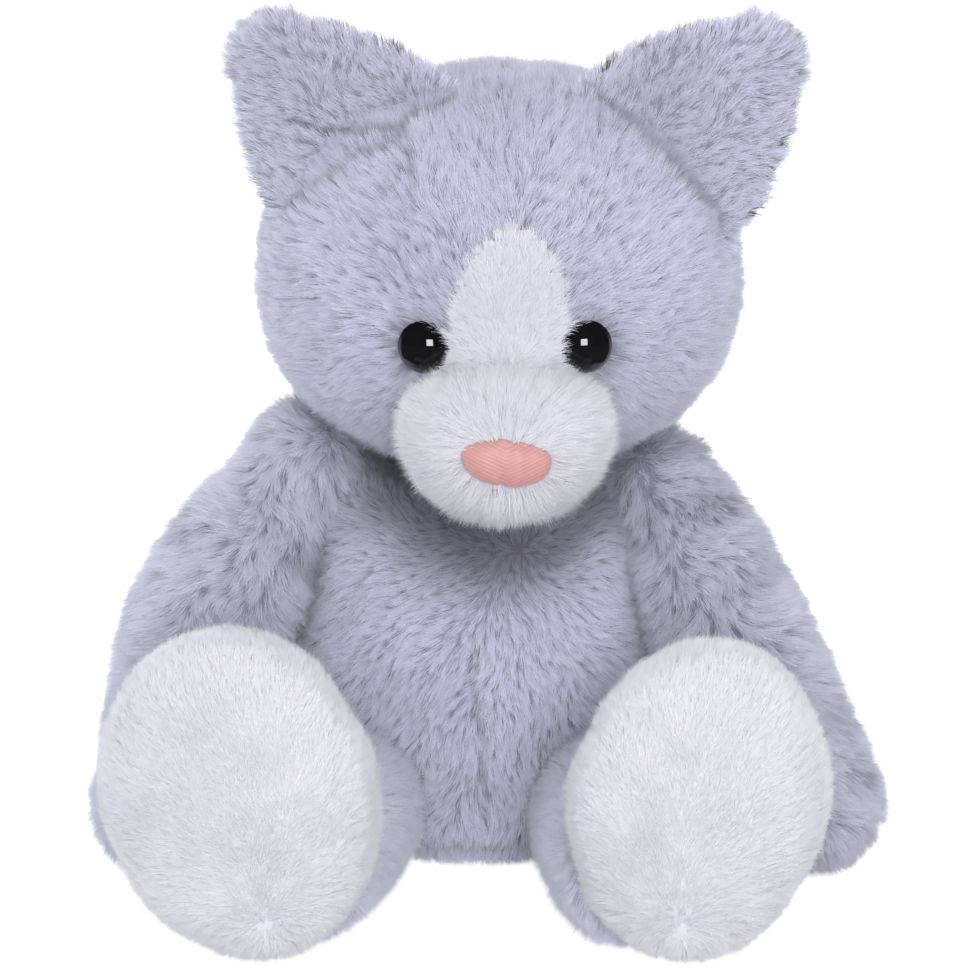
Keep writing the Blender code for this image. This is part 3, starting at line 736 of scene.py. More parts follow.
def add_mesh(name, points, triangles, normals=None, uv=None):
    mesh = bpy.data.meshes.new(name)
    mesh.vertices.add(len(points))
    mesh.vertices.foreach_set("co", np.asarray(points, np.float32).ravel())
    mesh.loops.add(3 * len(triangles))
    mesh.loops.foreach_set("vertex_index", np.asarray(triangles, np.int32).ravel())
    mesh.polygons.add(len(triangles))
    mesh.polygons.foreach_set("loop_start", np.arange(0, 3 * len(triangles), 3, dtype=np.int32))
    mesh.update(calc_edges=True)
    mesh.shade_smooth()
    if uv is not None:
        layer = mesh.uv_layers.new(name="OFBake")
        layer.data.foreach_set("uv", np.asarray(uv, np.float32)[triangles.ravel()].ravel())
    if normals is not None:
        mesh.normals_split_custom_set_from_vertices(np.asarray(normals, np.float32))
    obj = bpy.data.objects.new(name, mesh)
    bpy.context.scene.collection.objects.link(obj)
    return obj


# the bare skin under the pile takes the dark root colour and a lower lightness, as painted shade
SKIN_PAINTED_SHADE = 0.62
SKIN_CLIMB = 0.10


def plush_panel(node, body, form, planes, strands, look):
    """One fabric panel: the form's skin between its seams, with the strands rooted there."""
    centres = form.local[form.triangles].mean(axis=1)
    inside = sides_of(centres, planes) > 0
    used, triangles = np.unique(form.triangles[inside], return_inverse=True)
    skin_shade = SKIN_PAINTED_SHADE * strands["part"](form.points[used])
    skin_map = np.stack([skin_shade, np.full(len(used), SKIN_CLIMB)], axis=1)
    points, faces, normals, uv = blades(strands, sides_of(strands["local"], planes) > 0)
    obj = add_mesh(
        f"{node}_plush",
        np.concatenate([form.points[used], points]),
        np.concatenate([triangles.reshape(-1, 3), faces + len(used)]),
        np.concatenate([form.normals[used], normals]),
        np.concatenate([skin_map, uv]),
    )
    obj.data.materials.append(look)
    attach(obj, body)
    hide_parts(node)
    return obj


# ---------------------------------------------------------------- the cat's forms

def head_rows():
    rings = 64
    crown = oval_rows(HEAD_LOW, HEAD_HALF.z, HEAD_HALF.x, HEAD_HALF.y, rings, CROWN_SQUARENESS)
    cheeks = oval_rows(HEAD_LOW, HEAD_HALF.z, HEAD_HALF.x, HEAD_HALF.y, rings, CHEEK_SQUARENESS)
    return cheeks[: rings // 2] + crown[rings // 2 :]


def ear_rows():
    stations = [(-EAR_ROOT, EAR_HALF_WIDE * EAR_ROOT_WIDE, EAR_HALF_THICK)]
    for up, wide in EAR_OUTLINE:
        stations.append((EAR_TALL * up, EAR_HALF_WIDE * wide, EAR_HALF_THICK))
    tops = smooth_stations(stations, 10)
    crown, half, thick = stations[-1]
    rows = [(-EAR_ROOT - 0.0005, 0, 0, 0), *tops]
    for rise, shrink in rounding(TIP_ROWS):
        rows.append((crown + (EAR_TALL - crown) * rise, half * shrink, thick * shrink, 0))
    return rows


def cup_ear(points):
    across = points[:, 0] / EAR_HALF_WIDE
    up = np.maximum(points[:, 2], 0) / EAR_TALL
    bent = points.copy()
    bent[:, 1] -= EAR_CUP * across ** 2 + EAR_TIP_FALL * up ** 2
    return bent


def torso_rows():
    return [(-0.0001, 0, 0, 0), *smooth_stations(TORSO_STATIONS, 8), (TORSO_TOP, 0, 0, 0)]


def swell(form, centre, rise, reach):
    """Fills a form out round a point on its skin."""
    away = np.linalg.norm(form.points - np.array(centre), axis=1)
    form.push(rise * np.exp(-(away / reach) ** 2))


def ear_form(sign, shape):
    lean = shape["ear_lean"]
    up = (sign * math.sin(lean), 0, math.cos(lean))
    across = (math.cos(lean), 0, -sign * math.sin(lean))
    return Form(ear_rows(), frame_along(shape["ear_base"], up, across), 64, cup_ear)


def arm_form(sign, shape):
    flank = shape["flank_lean"]
    outward = Vector((sign * math.cos(flank), 0, math.sin(flank)))
    down = Vector((sign * math.sin(flank), 0, -math.cos(flank)))
    forward = shape["arm_forward"]
    along = down * math.cos(forward) + Vector((0, -1, 0)) * math.sin(forward)
    stations = [(*station, bow) for station, bow in zip(ARM_STATIONS, shape["arm_bow"])]
    rows = limb_rows(ARM_ROOT_RADIUS, stations, ARM_TIP)
    arm = Form(rows, frame_along(shape["shoulder"], along, outward), 64)
    arm_top = np.array(shape["shoulder"]) + ARM_PAD * np.array((sign, 1, 1))
    swell(arm, arm_top, shape["arm_pad"], PAD_REACH)
    return arm


def leg_form(sign, shape):
    outwards, back, rise = ANKLE_TO_FOOT
    ankle = shape["foot"] - Vector((sign * outwards, back, rise))
    rows = limb_rows(LEG_ROOT_RADIUS, LEG_STATIONS, LEG_TIP)
    return Form(rows, frame_along(shape["hip"], ankle - shape["hip"], (1, 0, 0)), 64)


def foot_form(sign, shape):
    turn = Matrix.Rotation(sign * shape["foot_roll"], 4, "Y")
    front = Vector((sign * math.sin(SOLE_SPLAY), -math.cos(SOLE_SPLAY), math.tan(SOLE_TILT)))
    place = Matrix.Translation(shape["foot"]) @ turn @ frame_along((0, 0, 0), front, (1, 0, 0))
    rows = oval_rows(FOOT_HALF_THICK, FOOT_HALF_THICK, *shape["foot_half"], 48, FOOT_SQUARENESS)
    foot = Form(rows, place, 80)
    foot.push(SOLE_LUMPS * smooth_noise(foot.points, 0.035, SEED + 5))
    return foot


def tail_form():
    along = (math.sin(TAIL_TURN), math.cos(TAIL_TURN), -math.sin(TAIL_DROP))
    rows = limb_rows(TAIL_ROOT_RADIUS, TAIL_STATIONS, TAIL_TIP)
    return Form(rows, frame_along(TAIL_PIVOT, along, (1, 0, 0)), 48)


def torso_form():
    torso = Form(torso_rows(), Matrix.Identity(4), 96)
    for _, sign, _ in SIDES:
        swell(torso, np.array(SHOULDER_PAD) * (sign, 1, 1), PAD_RISE, PAD_REACH)
        swell(torso, np.array(NAPE) * (sign, 1, 1), NAPE_RISE, NAPE_REACH)
    return torso


def make_forms():
    muzzle_rows = tapered(MUZZLE_HALF, MUZZLE_TAPER, 40, MUZZLE_SQUARENESS)
    forms = {
        "head": Form(head_rows(), Matrix.Translation(HEAD_CENTRE), 96),
        "muzzle": Form(muzzle_rows, Matrix.Translation(MUZZLE_CENTRE), 72),
        "torso": torso_form(),
        "tail": tail_form(),
    }
    for side, sign, shape in SIDES:
        forms[f"ear_{side}"] = ear_form(sign, shape)
        forms[f"arm_{side}"] = arm_form(sign, shape)
        forms[f"leg_{side}"] = leg_form(sign, shape)
        forms[f"foot_{side}"] = foot_form(sign, shape)
    swell(forms["head"], BRIDGE, BRIDGE_RISE, BRIDGE_REACH)
    for form in forms.values():
        form.points[:, 2] = np.maximum(form.points[:, 2], FLOOR_CLEARANCE)
        form.refresh()
    return forms


def clear_of(*others, limit=CLEAR):
    """A test that keeps points outside the other forms."""
    def keep(points, normals, locals_):
        kept = np.ones(len(points), bool)
        for other in others:
            kept &= other.depth(points) > limit
        return kept
    return keep


def away_from(centre):
    """A comb that radiates from a point."""
    def comb(points, normals, locals_):
        return along_skin(points - np.array(centre), normals)
    return comb


def with_painted_lightness(painted_lightness, part=full):
    """The same coat lighter or darker all over, as painted light or painted shade on a whole piece.
    """
    def shaded(points):
        return painted_lightness * part(points)
    return shaded


BETWEEN_EYES = (0.0080, -0.060, 0.158)
HEAD_SIDE = 0.005  # this far in front of its middle the head's coat starts to turn down
HEAD_TURN = 0.04
RIGHT_CHEEK = (0.012, 0.025)  # how far from the middle it starts, and the width of its fade
LEFT_CHEEK = (0.015, 0.03)
BROW_RUFFLE = 0.20
RIGHT_RUFFLE = 1.10
LEFT_RUFFLE = 0.35
BEHIND_RUFFLE = 0.3
BRIDGE = (0.0080, -0.056, 0.1535)  # where the muzzle runs up into the blaze
BRIDGE_RISE = 0.0080
BRIDGE_REACH = 0.0140
SOLE_LUMPS = 0.0007
EYE_RING = 0.013
EYE_SHADE_REACH = 0.0018
EYE_BACK = 0.0009
EYE_ROWS = 16
EYE_RIM_SOFTENED = 1.1
EYE_RIM_POWER = 12  # how close to the rim that stays
CHEST_WHORL = (0.0134, -0.050, 0.0900)
WHORL_CORE = 0.012
WHORL_EDGE = 1.4
# the reach of the painted shade in the creases beside other forms
CREASE_REACH = 1.22  # how far out from a form its crease reaches, 1 being its skin
# painted light: the torso's coat is paler below the chest
BELLY_TOP = 0.100
BELLY_FADE = 0.02
BELLY_PAINTED_LIGHT = 0.13
# each coat's overall lightness: painted light on the legs, feet and ears, painted shade on the head
# and muzzle
LEG_PAINTED_LIGHT = 1.32
FOOT_PAINTED_LIGHT = 1.18
EAR_PAINTED_LIGHT = 1.12
HEAD_PAINTED_SHADE = 0.95
MUZZLE_PAINTED_SHADE = 0.96
SHOULDER_PAD = (0.041, -0.004, 0.112)  # where the torso's skin fills out under the head
PAD_RISE = 0.011
PAD_REACH = 0.014
NAPE = (0.014, 0.031, 0.1130)  # each side of the seam down the back
NAPE_RISE = 0.0045
NAPE_REACH = 0.018
ARM_PAD = np.array((-0.004, 0.0, 0.015))  # from the shoulder to the top of the arm's root
COLLAR_LOW = 0.1075  # above it the chest's coat stands up to the head
COLLAR_FADE = 0.005
COLLAR_FLARE = 0.3
CHEST_DROOP = 0.6
TORSO_SIDE = 0.02
TORSO_TURN = 0.03
CHIN_SHADOW_LINE = (
    (-0.034, 0.123), (-0.024, 0.113), (-0.015, 0.107), (0.000, 0.101), (0.012, 0.099), (0.024, 0.101),
    (0.036, 0.110),
)
# where the fabric is pinched by a seam or a fold, as (x, z) seen from the front; the strands there
# are shorter and darkened with painted shade
EAR_FOLD = (
    (-0.0075, 0.2312), (-0.0120, 0.2291), (-0.0194, 0.2261), (-0.0233, 0.2222), (-0.0398, 0.2207),
    (-0.0568, 0.2261),
)
EAR_ROOT_RIGHT = (
    (-0.0225, 0.2201), (-0.0285, 0.2171), (-0.0354, 0.2147), (-0.0420, 0.2087), (-0.0556, 0.1981),
)
EAR_ROOT_LEFT = (
    (0.0328, 0.2342), (0.0433, 0.2237), (0.0553, 0.2132), (0.0629, 0.2042), (0.0705, 0.1960),
)
BROW_PINCH = ((-0.0211, 0.2224), (-0.0191, 0.2121), (-0.0171, 0.1987))
BELLY_SEAM = ((-0.0006, 0.0727), (0.0005, 0.0447), (0.0011, 0.0164))
# how deep each line of painted shade or painted shadow is, and the half width over which it fades
# the next two are painted shadow, where the head's shadow falls on the chest
CHIN_PAINTED_SHADOW = (0.88, 0.0100)
HOLLOW_SHADE = (0.60, 0.0140)  # deepest of all, straight under the chin
# painted shade along the belly's seam and the base seam
BELLY_SEAM_SHADE = (0.35, 0.0010)
BASE_SEAM_SHADE = (0.55, 0.0010)
BASE_SHADE_HEIGHT = BASE_SEAM + 0.002
# painted shade in the folds and seams round the ears and on the brow
FACE_CREASES = (
    (EAR_FOLD, 0.85, 0.0009),
    (EAR_ROOT_RIGHT, 0.75, 0.0009),
    (EAR_ROOT_LEFT, 0.60, 0.0012),
    (BROW_PINCH, 0.35, 0.0009),
)
# painted shade round each eye
EYE_SHADE = 0.35
# painted shade where an arm, a leg or the torso lies against another form
ARM_PAINTED_SHADE = 0.45
LEG_PAINTED_SHADE = 0.35
LIMB_PAINTED_SHADE = 0.55
# painted shade along the sole's seam
SOLE_SEAM_PAINTED_SHADE = (0.15, 0.0009)
# what stays bare of pile: shares of the radius of a joint, an eye or the nose, or metres
JOINT_BARE = 0.85
EYE_BARE = 0.90
NOSE_BARE = 0.95
STITCH_REACH = 0.25
NECK_BARE = 0.022
LIMB_START = -0.004  # along a leg or the tail, measured from its joint
# which way the coats lie, and for the ears and soles how strongly they fan out or up
ARM_LIE = (0.55, 0.25, -1.0)
LEG_LIE = (0, 0.5, -1.0)
EAR_LIE = (0, 0.3, 0)
EAR_SPREAD = 0.8
SOLE_RISE = 1.6
SOLE_EDGE = SOLE_SEAM * 1.6
BLAZE_SHIFT = 0.0013
BLAZE_SLANT = 0.09
BLAZE_WIDE = 0.0172
BLAZE_MIDDLE = -0.011
BLAZE_TALL = 0.0335

# the coats, length and then lean from upright in radians
HEAD_PILE = Pile(0.0070, 1.00)
BLAZE_PILE = Pile(0.0056, 0.80, strands=32, gather=0.08, stray=0.24, swirl=0.15, contrast=0.35)
MUZZLE_PILE = Pile(0.0082, 0.84, strands=30, gather=0.25, stray=0.24, contrast=0.5)
EAR_PILE = Pile(0.0066, 0.96, gather=0.26, round_limb=True)
TORSO_PILE = Pile(0.0060, 0.96, tuft=0.0014, strands=17, gather=0.42)
ARM_PILE = Pile(0.0088, 0.90, tuft=0.0020, strands=34, width=0.00020,
                gather=0.44, stray=0.20, swirl=0.55, whorl=0.024, round_limb=True)
LEG_PILE = Pile(0.0062, 0.88, gather=0.14, contrast=0.7, round_limb=True)
FOOT_PILE = Pile(0.0044, 0.95, tuft=0.0013, strands=19, gather=0.03, stray=0.14,
                 swirl=0.2, contrast=0.15, round_limb=True)


def everywhere(points, normals, locals_):
    return np.ones(len(points), bool)


def painted_shade_along(points, line, depth, half):
    """Painted shade, 1 in the open coat and darker by depth on a broken line of (x, z) seen from the
    front.
    """
    flat = points[:, (0, 2)]
    nearest = np.full(len(points), np.inf)
    for a, b in zip(line, line[1:]):
        a = np.array(a)
        run = np.array(b) - a
        share = np.clip((flat - a) @ run / (run @ run), 0, 1)[:, None]
        nearest = np.minimum(nearest, np.linalg.norm(flat - a - share * run, axis=1))
    return 1 - depth * np.exp(-(nearest / half) ** 2) * (points[:, 1] < 0)


def head_comb(points, normals, locals_):
    """Out from between the eyes and from round each eye, and down the back of the head."""
    radial = along_skin(points - np.array(BETWEEN_EYES), normals)
    for _, sign, _ in SIDES:
        eye = np.array(eye_spot(sign)[0])
        from_eye = points - eye
        near = np.exp(-(np.linalg.norm(from_eye, axis=1) / EYE_RING) ** 2)
        inner = np.clip(0.5 - unit(from_eye) @ unit(eye - np.array(BETWEEN_EYES)), 0, 1)
        near = (near * (1 - inner))[:, None]
        radial = radial * (1 - near) + along_skin(from_eye, normals) * near
    behind = np.clip((points[:, 1] + HEAD_SIDE) / HEAD_TURN, 0, 1)[:, None]
    down = along_skin(np.tile((0.0, 0.0, -1.0), (len(points), 1)), normals)
    return radial * (1 - behind) + down * behind


def cheek_ruffle(points):
    """The coat is smooth on the brow and more gathered on the cheeks, most of all on the right."""
    middle = BETWEEN_EYES[0]
    start, fade = RIGHT_CHEEK
    right = np.clip((middle - start - points[:, 0]) / fade, 0, 1)
    start, fade = LEFT_CHEEK
    left = np.clip((points[:, 0] - middle - start) / fade, 0, 1)
    behind = points[:, 1] > 0
    return BROW_RUFFLE + RIGHT_RUFFLE * right + LEFT_RUFFLE * left + BEHIND_RUFFLE * behind


def chest_part(points):
    """The chest's coat is short and dark with painted shadow where the head's shadow falls, deepest
    straight under the chin, with painted shade along its seams, and paler with painted light below
    the chest.
    """
    chin = painted_shade_along(points, CHIN_SHADOW_LINE, *CHIN_PAINTED_SHADOW)
    hollow = painted_shade_along(points, CHIN_SHADOW_LINE[1:4], *HOLLOW_SHADE)
    middle = painted_shade_along(points, BELLY_SEAM, *BELLY_SEAM_SHADE)
    depth, half = BASE_SEAM_SHADE
    base = 1 - depth * np.exp(-((points[:, 2] - BASE_SHADE_HEIGHT) / half) ** 2)
    belly = 1 + BELLY_PAINTED_LIGHT * np.clip((BELLY_TOP - points[:, 2]) / BELLY_FADE, 0, 1)
    return chin * hollow * middle * base * belly


def shade_beside(points, others, depth):
    """Painted shade: darker fur in the creases where other forms lie against this one."""
    nearest = np.min([other.depth(points) for other in others], axis=0)
    return 1 - depth * np.clip((CREASE_REACH - nearest) / (CREASE_REACH - 1), 0, 1)


def face_part(points):
    """Painted shade in the folds round the ears' roots and on the brow, and the painted shade that
    each eye's edge casts.
    """
    shaded = full(points)
    for line, depth, half in FACE_CREASES:
        shaded = shaded * painted_shade_along(points, line, depth, half)
    for _, sign, _ in SIDES:
        beyond_rim = np.linalg.norm(points - np.array(eye_spot(sign)[0]), axis=1) - EYE_RADIUS
        shaded = shaded * (1 - EYE_SHADE * np.exp(-(beyond_rim / EYE_SHADE_REACH) ** 2))
    return shaded


def in_blaze(local):
    """The white blaze: a tall rounded patch up from between the eyes."""
    x = (local[:, 0] - BLAZE_SHIFT - BLAZE_SLANT * (local[:, 2] - BLAZE_MIDDLE)) / BLAZE_WIDE
    z = np.maximum(local[:, 2] - BLAZE_MIDDLE, 0) / BLAZE_TALL
    return (1 - np.hypot(x, z)) * BLAZE_WIDE


def out_of_blaze(local):
    return -in_blaze(local)


def make_skull(forms, gray, white):
    """The head without its muzzle and ears: gray panels round a white blaze."""
    head = forms["head"]
    grown = clear_of(forms["muzzle"], forms["ear_left"], forms["ear_right"])
    eyes = [eye_spot(sign)[0] for _, sign, _ in SIDES]
    front = ((0, CROWN_SEAM_Y, 0), (0, -1, 0))
    rear = ((0, CROWN_SEAM_Y, 0), (0, 1, 0))

    def keep(points, normals, locals_, white_fur):
        kept = grown(points, normals, locals_)
        for eye in eyes:
            kept &= np.linalg.norm(points - np.array(eye), axis=1) > EYE_RADIUS * EYE_BARE
        return kept & ((sides_of(locals_, [front, in_blaze]) > 0) == white_fur)

    keep_gray = partial(keep, white_fur=False)
    keep_blaze = partial(keep, white_fur=True)
    shaded = with_painted_lightness(HEAD_PAINTED_SHADE, face_part)
    coat = coat_of(head, HEAD_PILE, head_comb, keep_gray, SEED + 10, shaded, cheek_ruffle)
    velvet = coat_of(head, BLAZE_PILE, head_comb, keep_blaze, SEED + 11)
    seams = {
        "face_left": [front, out_of_blaze, ((BLAZE_HALF, 0, 0), (1, 0, 0))],
        "face_right": [front, out_of_blaze, ((-BLAZE_HALF, 0, 0), (-1, 0, 0))],
        "crown_gusset": [
            front, out_of_blaze, ((-BLAZE_HALF, 0, 0), (1, 0, 0)), ((BLAZE_HALF, 0, 0), (-1, 0, 0)),
        ],
        "head_back_left": [rear, TO_LEFT],
        "head_back_right": [rear, TO_RIGHT],
    }
    for node, planes in seams.items():
        plush_panel(node, "head", head, planes, coat, gray)
    plush_panel("blaze", "head", head, [front, in_blaze], velvet, white)


def make_muzzle(forms, white):
    muzzle = forms["muzzle"]
    grown = clear_of(forms["head"], limit=MUZZLE_CLEAR)

    def beside_nose(points, normals, locals_):
        """Clear of the nose, but close in over its top edge and its stitch."""
        flat = (points - np.array(NOSE_CENTRE)) / np.array(NOSE_HALF)
        flat[:, 2] += NOSE_SLANT * flat[:, 0]
        above = np.clip(flat[:, 2] * 2, 0, 1)
        stitched = np.exp(-((flat[:, 0] - NOSE_STITCH) / STITCH_REACH) ** 2) * (flat[:, 2] < 0)
        bare = NOSE_BARE - NOSE_OVERGROWN * (above + stitched)
        return (np.hypot(flat[:, 0], flat[:, 2]) > bare) & grown(points, normals, locals_)

    beard = coat_of(
        muzzle, MUZZLE_PILE, away_from(NOSE_CENTRE), beside_nose, SEED + 12, with_painted_lightness(MUZZLE_PAINTED_SHADE)
    )
    seams = {
        "muzzle_left": [TO_LEFT, (CHIN_SEAM, (0, 0, 1))],
        "muzzle_right": [TO_RIGHT, (CHIN_SEAM, (0, 0, 1))],
        "chin": [(CHIN_SEAM, (0, 0, -1))],
    }
    for node, planes in seams.items():
        plush_panel(node, "head", muzzle, planes, beard, white)


def make_ear(side, sign, forms, gray):
    ear = forms[f"ear_{side}"]

    def comb(points, normals, locals_):
        """Up to the tip, out to the edges, and a little backward."""
        edge = np.outer(locals_[:, 0] / EAR_HALF_WIDE, ear.place[:3, 0]) * EAR_SPREAD
        return along_skin(ear.place[:3, 2] + edge + np.array(EAR_LIE), normals)

    shaded = with_painted_lightness(EAR_PAINTED_LIGHT, face_part)
    coat = coat_of(ear, EAR_PILE, comb, clear_of(forms["head"]), SEED + 14 + sign, shaded)
    for name, half in (("front", TO_FRONT), ("back", TO_BACK)):
        plush_panel(f"ear_{side}_{name}", "head", ear, [half], coat, gray)


def eye_spot(sign):
    x = EYE_MIDDLE_X + sign * EYE_SPACING / 2 - HEAD_CENTRE.x
    z = EYE_Z - HEAD_CENTRE.z
    y = -HEAD_HALF.y * math.sqrt(1 - (x / HEAD_HALF.x) ** 2 - (z / HEAD_LOW) ** 2)
    out = Vector((x / HEAD_HALF.x ** 2, y / HEAD_HALF.y ** 2, z / HEAD_HALF.z ** 2)).normalized()
    return HEAD_CENTRE + Vector((x, y, z)), out


def make_eye(side, sign, look):
    """A glossy dome, smooth to its rim, with the short flat back that sits in the fabric."""
    spot, out = eye_spot(sign)
    rows = [(-EYE_BACK, 0, 0, 0), (-EYE_BACK, EYE_RADIUS * 0.9, EYE_RADIUS * 0.9, 0)]
    rows.append((0, EYE_RADIUS, EYE_RADIUS, 0))
    for rise, shrink in rounding(EYE_ROWS):
        rows.append((EYE_HEIGHT * rise, EYE_RADIUS * shrink, EYE_RADIUS * shrink, 0))
    form = Form(rows, frame_along(spot, out, (1, 0, 0)), 64)
    # towards its rim the dome is softened, so it mirrors the room and not the fabric beside it
    at_rim = np.linalg.norm(form.local[:, :2], axis=1) / EYE_RADIUS
    normals = unit(form.normals + EYE_RIM_SOFTENED * at_rim[:, None] ** EYE_RIM_POWER * np.array(out))
    obj = add_mesh(f"eye_{side}_dome", form.points, form.triangles, normals)
    obj.data.materials.append(look)
    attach(obj, "head")
    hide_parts(f"eye_{side}")


TWILL_CLIMB = 0.45  # how steeply the nose's ribs rise
TWILL_SCALE = 270


def satin_material():
    """Satin with twill ribs that rise to both sides from the middle of the nose."""
    made, tree = new_material("pink_satin")
    place = object_place(tree)
    split = add_node(tree, "SeparateXYZ", [(0, place)])
    inputs = [(0, split.outputs["X"]), (1, NOSE_CENTRE.x)]
    across = add_node(tree, "Math", inputs, operation="SUBTRACT")
    aside = add_node(tree, "Math", [(0, across.outputs[0])], operation="ABSOLUTE")
    inputs = [(0, aside.outputs[0]), (1, -TWILL_CLIMB), (2, split.outputs["Z"])]
    climb = add_node(tree, "Math", inputs, operation="MULTIPLY_ADD")
    ribs = add_node(tree, "CombineXYZ", [("X", climb.outputs[0])])
    inputs = [("Vector", ribs.outputs[0]), ("Scale", TWILL_SCALE), ("Distortion", 1.6)]
    inputs.append(("Detail Scale", 6))
    twill = add_node(tree, "TexWave", inputs).outputs["Fac"]
    mottle = add_node(tree, "TexNoise", [("Vector", place), ("Scale", 420)]).outputs["Fac"]
    tones = [
        add_ramp(tree, twill, ((0, (0.460, 0.215, 0.210)), (1, (0.505, 0.255, 0.252)))),
        add_ramp(tree, mottle, ((0, (0.84, 0.84, 0.84)), (1, (1.02, 1.02, 1.02)))),
    ]
    mixed = add_node(tree, "VectorMath", list(enumerate(tones)), operation="MULTIPLY")
    feed_shader(tree, 0.50, [
        ("Base Color", mixed.outputs["Vector"]),
        ("Normal", add_bump(tree, twill, 0.20, 0.0003)),
        ("Sheen Weight", 0.3),
    ])
    return made


def make_nose(look):
    """A soft patch, its top edge puckered by the stitches that hold it."""
    rows = tapered(NOSE_HALF, NOSE_TAPER, 40, NOSE_SQUARENESS)
    form = Form(rows, Matrix.Translation(NOSE_CENTRE), 96)
    x = form.local[:, 0] / NOSE_HALF.x
    z = form.local[:, 2] / NOSE_HALF.z
    top = np.clip(z, 0, 1) ** 2
    ragged = NOSE_RAGGED * smooth_noise(form.points, 0.0028, SEED + 81)
    form.points[:, 2] += top * (ragged - NOSE_ARCH * np.abs(x) ** 1.6)
    form.points[:, 2] -= NOSE_SLANT * NOSE_HALF.z * x
    pinch = np.exp(-((x + 0.10) / 0.10) ** 2) * np.clip(0.3 - z, 0, 1)
    form.refresh()
    form.push(NOSE_LUMPS * smooth_noise(form.points, 0.006, SEED + 80) - NOSE_PINCH * pinch)
    obj = add_mesh("nose_patch_satin", form.points, form.triangles)
    obj.data.materials.append(look)
    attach(obj, "head")
    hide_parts("nose_patch")


def make_torso(forms, gray):
    torso = forms["torso"]
    balls = [(NECK_PIVOT, NECK_BARE), (TAIL_PIVOT, TAIL_ROOT_RADIUS * JOINT_BARE)]
    for _, _, shape in SIDES:
        balls.append((shape["shoulder"], ARM_ROOT_RADIUS * JOINT_BARE))
        balls.append((shape["hip"], LEG_ROOT_RADIUS * JOINT_BARE))

    def keep(points, normals, locals_):
        kept = np.ones(len(points), bool)
        for centre, radius in balls:
            kept &= np.linalg.norm(points - np.array(centre), axis=1) > radius
        return kept

    def comb(points, normals, locals_):
        """Out and down from the whorl on the chest, straight down behind, and up at the collar."""
        radial = along_skin(points - np.array(CHEST_WHORL), normals)
        down = np.array((0.0, 0.0, -1.0))
        away = np.linalg.norm(points - np.array(CHEST_WHORL), axis=1)
        still = np.clip(WHORL_EDGE - away / WHORL_CORE, 0, 1)
        behind = np.clip((points[:, 1] + TORSO_SIDE) / TORSO_TURN, 0, 1)
        plain = np.maximum(still, behind)[:, None]
        lie = (radial + down * CHEST_DROOP) * (1 - plain) + down * plain
        collar = np.clip((points[:, 2] - COLLAR_LOW) / COLLAR_FADE, 0, 1)[:, None]
        outward = unit(points * (1, 1, 0))
        return lie * (1 - collar) + (outward * COLLAR_FLARE - down) * collar

    neighbours = [forms[f"{limb}_{side}"] for limb in ("arm", "leg") for side, _, _ in SIDES]

    # painted shadow and light on the chest, and painted shade beside the limbs
    def part(points):
        return chest_part(points) * shade_beside(points, neighbours, LIMB_PAINTED_SHADE)

    coat = coat_of(torso, TORSO_PILE, comb, keep, SEED + 30, part)
    above = ((0, 0, BASE_SEAM), (0, 0, 1))
    seams = {
        "chest_left": [above, TO_LEFT, TO_FRONT],
        "chest_right": [above, TO_RIGHT, TO_FRONT],
        "back_left": [above, TO_LEFT, TO_BACK],
        "back_right": [above, TO_RIGHT, TO_BACK],
        "base_panel": [((0, 0, BASE_SEAM), (0, 0, -1))],
    }
    for node, planes in seams.items():
        plush_panel(node, "torso", torso, planes, coat, gray)


def beside_torso(forms, depth):
    """The painted shade on a limb where it lies against the torso."""
    def part(points):
        return shade_beside(points, [forms["torso"]], depth)
    return part


def make_arm(side, sign, shape, forms, gray):
    arm = forms[f"arm_{side}"]

    def comb(points, normals, locals_):
        return along_skin(np.array(ARM_LIE) * (sign, 1, 1), normals)

    shaded = with_painted_lightness(shape["arm_painted_light"], beside_torso(forms, ARM_PAINTED_SHADE))
    coat = coat_of(arm, ARM_PILE, comb, everywhere, SEED + 40 + sign, shaded)
    body = f"arm_{side}"
    for name, way in (("front", sign), ("back", -sign)):
        half = ((0, 0, 0), (0, way, 0))
        plush_panel(f"{body}_{name}", body, arm, [half], coat, gray)


def make_leg(side, sign, forms, gray):
    leg = forms[f"leg_{side}"]
    foot = forms[f"foot_{side}"]

    def comb(points, normals, locals_):
        return along_skin(np.array(LEG_LIE), normals)

    def keep(points, normals, locals_):
        return (locals_[:, 2] > LIMB_START) & (foot.depth(points) > CLEAR)

    shaded = with_painted_lightness(LEG_PAINTED_LIGHT, beside_torso(forms, LEG_PAINTED_SHADE))
    coat = coat_of(leg, LEG_PILE, comb, keep, SEED + 50 + sign, shaded)
    body = f"leg_{side}"
    for name, half in (("top", TO_BACK), ("under", TO_FRONT)):
        plush_panel(f"{body}_{name}", body, leg, [half], coat, gray)


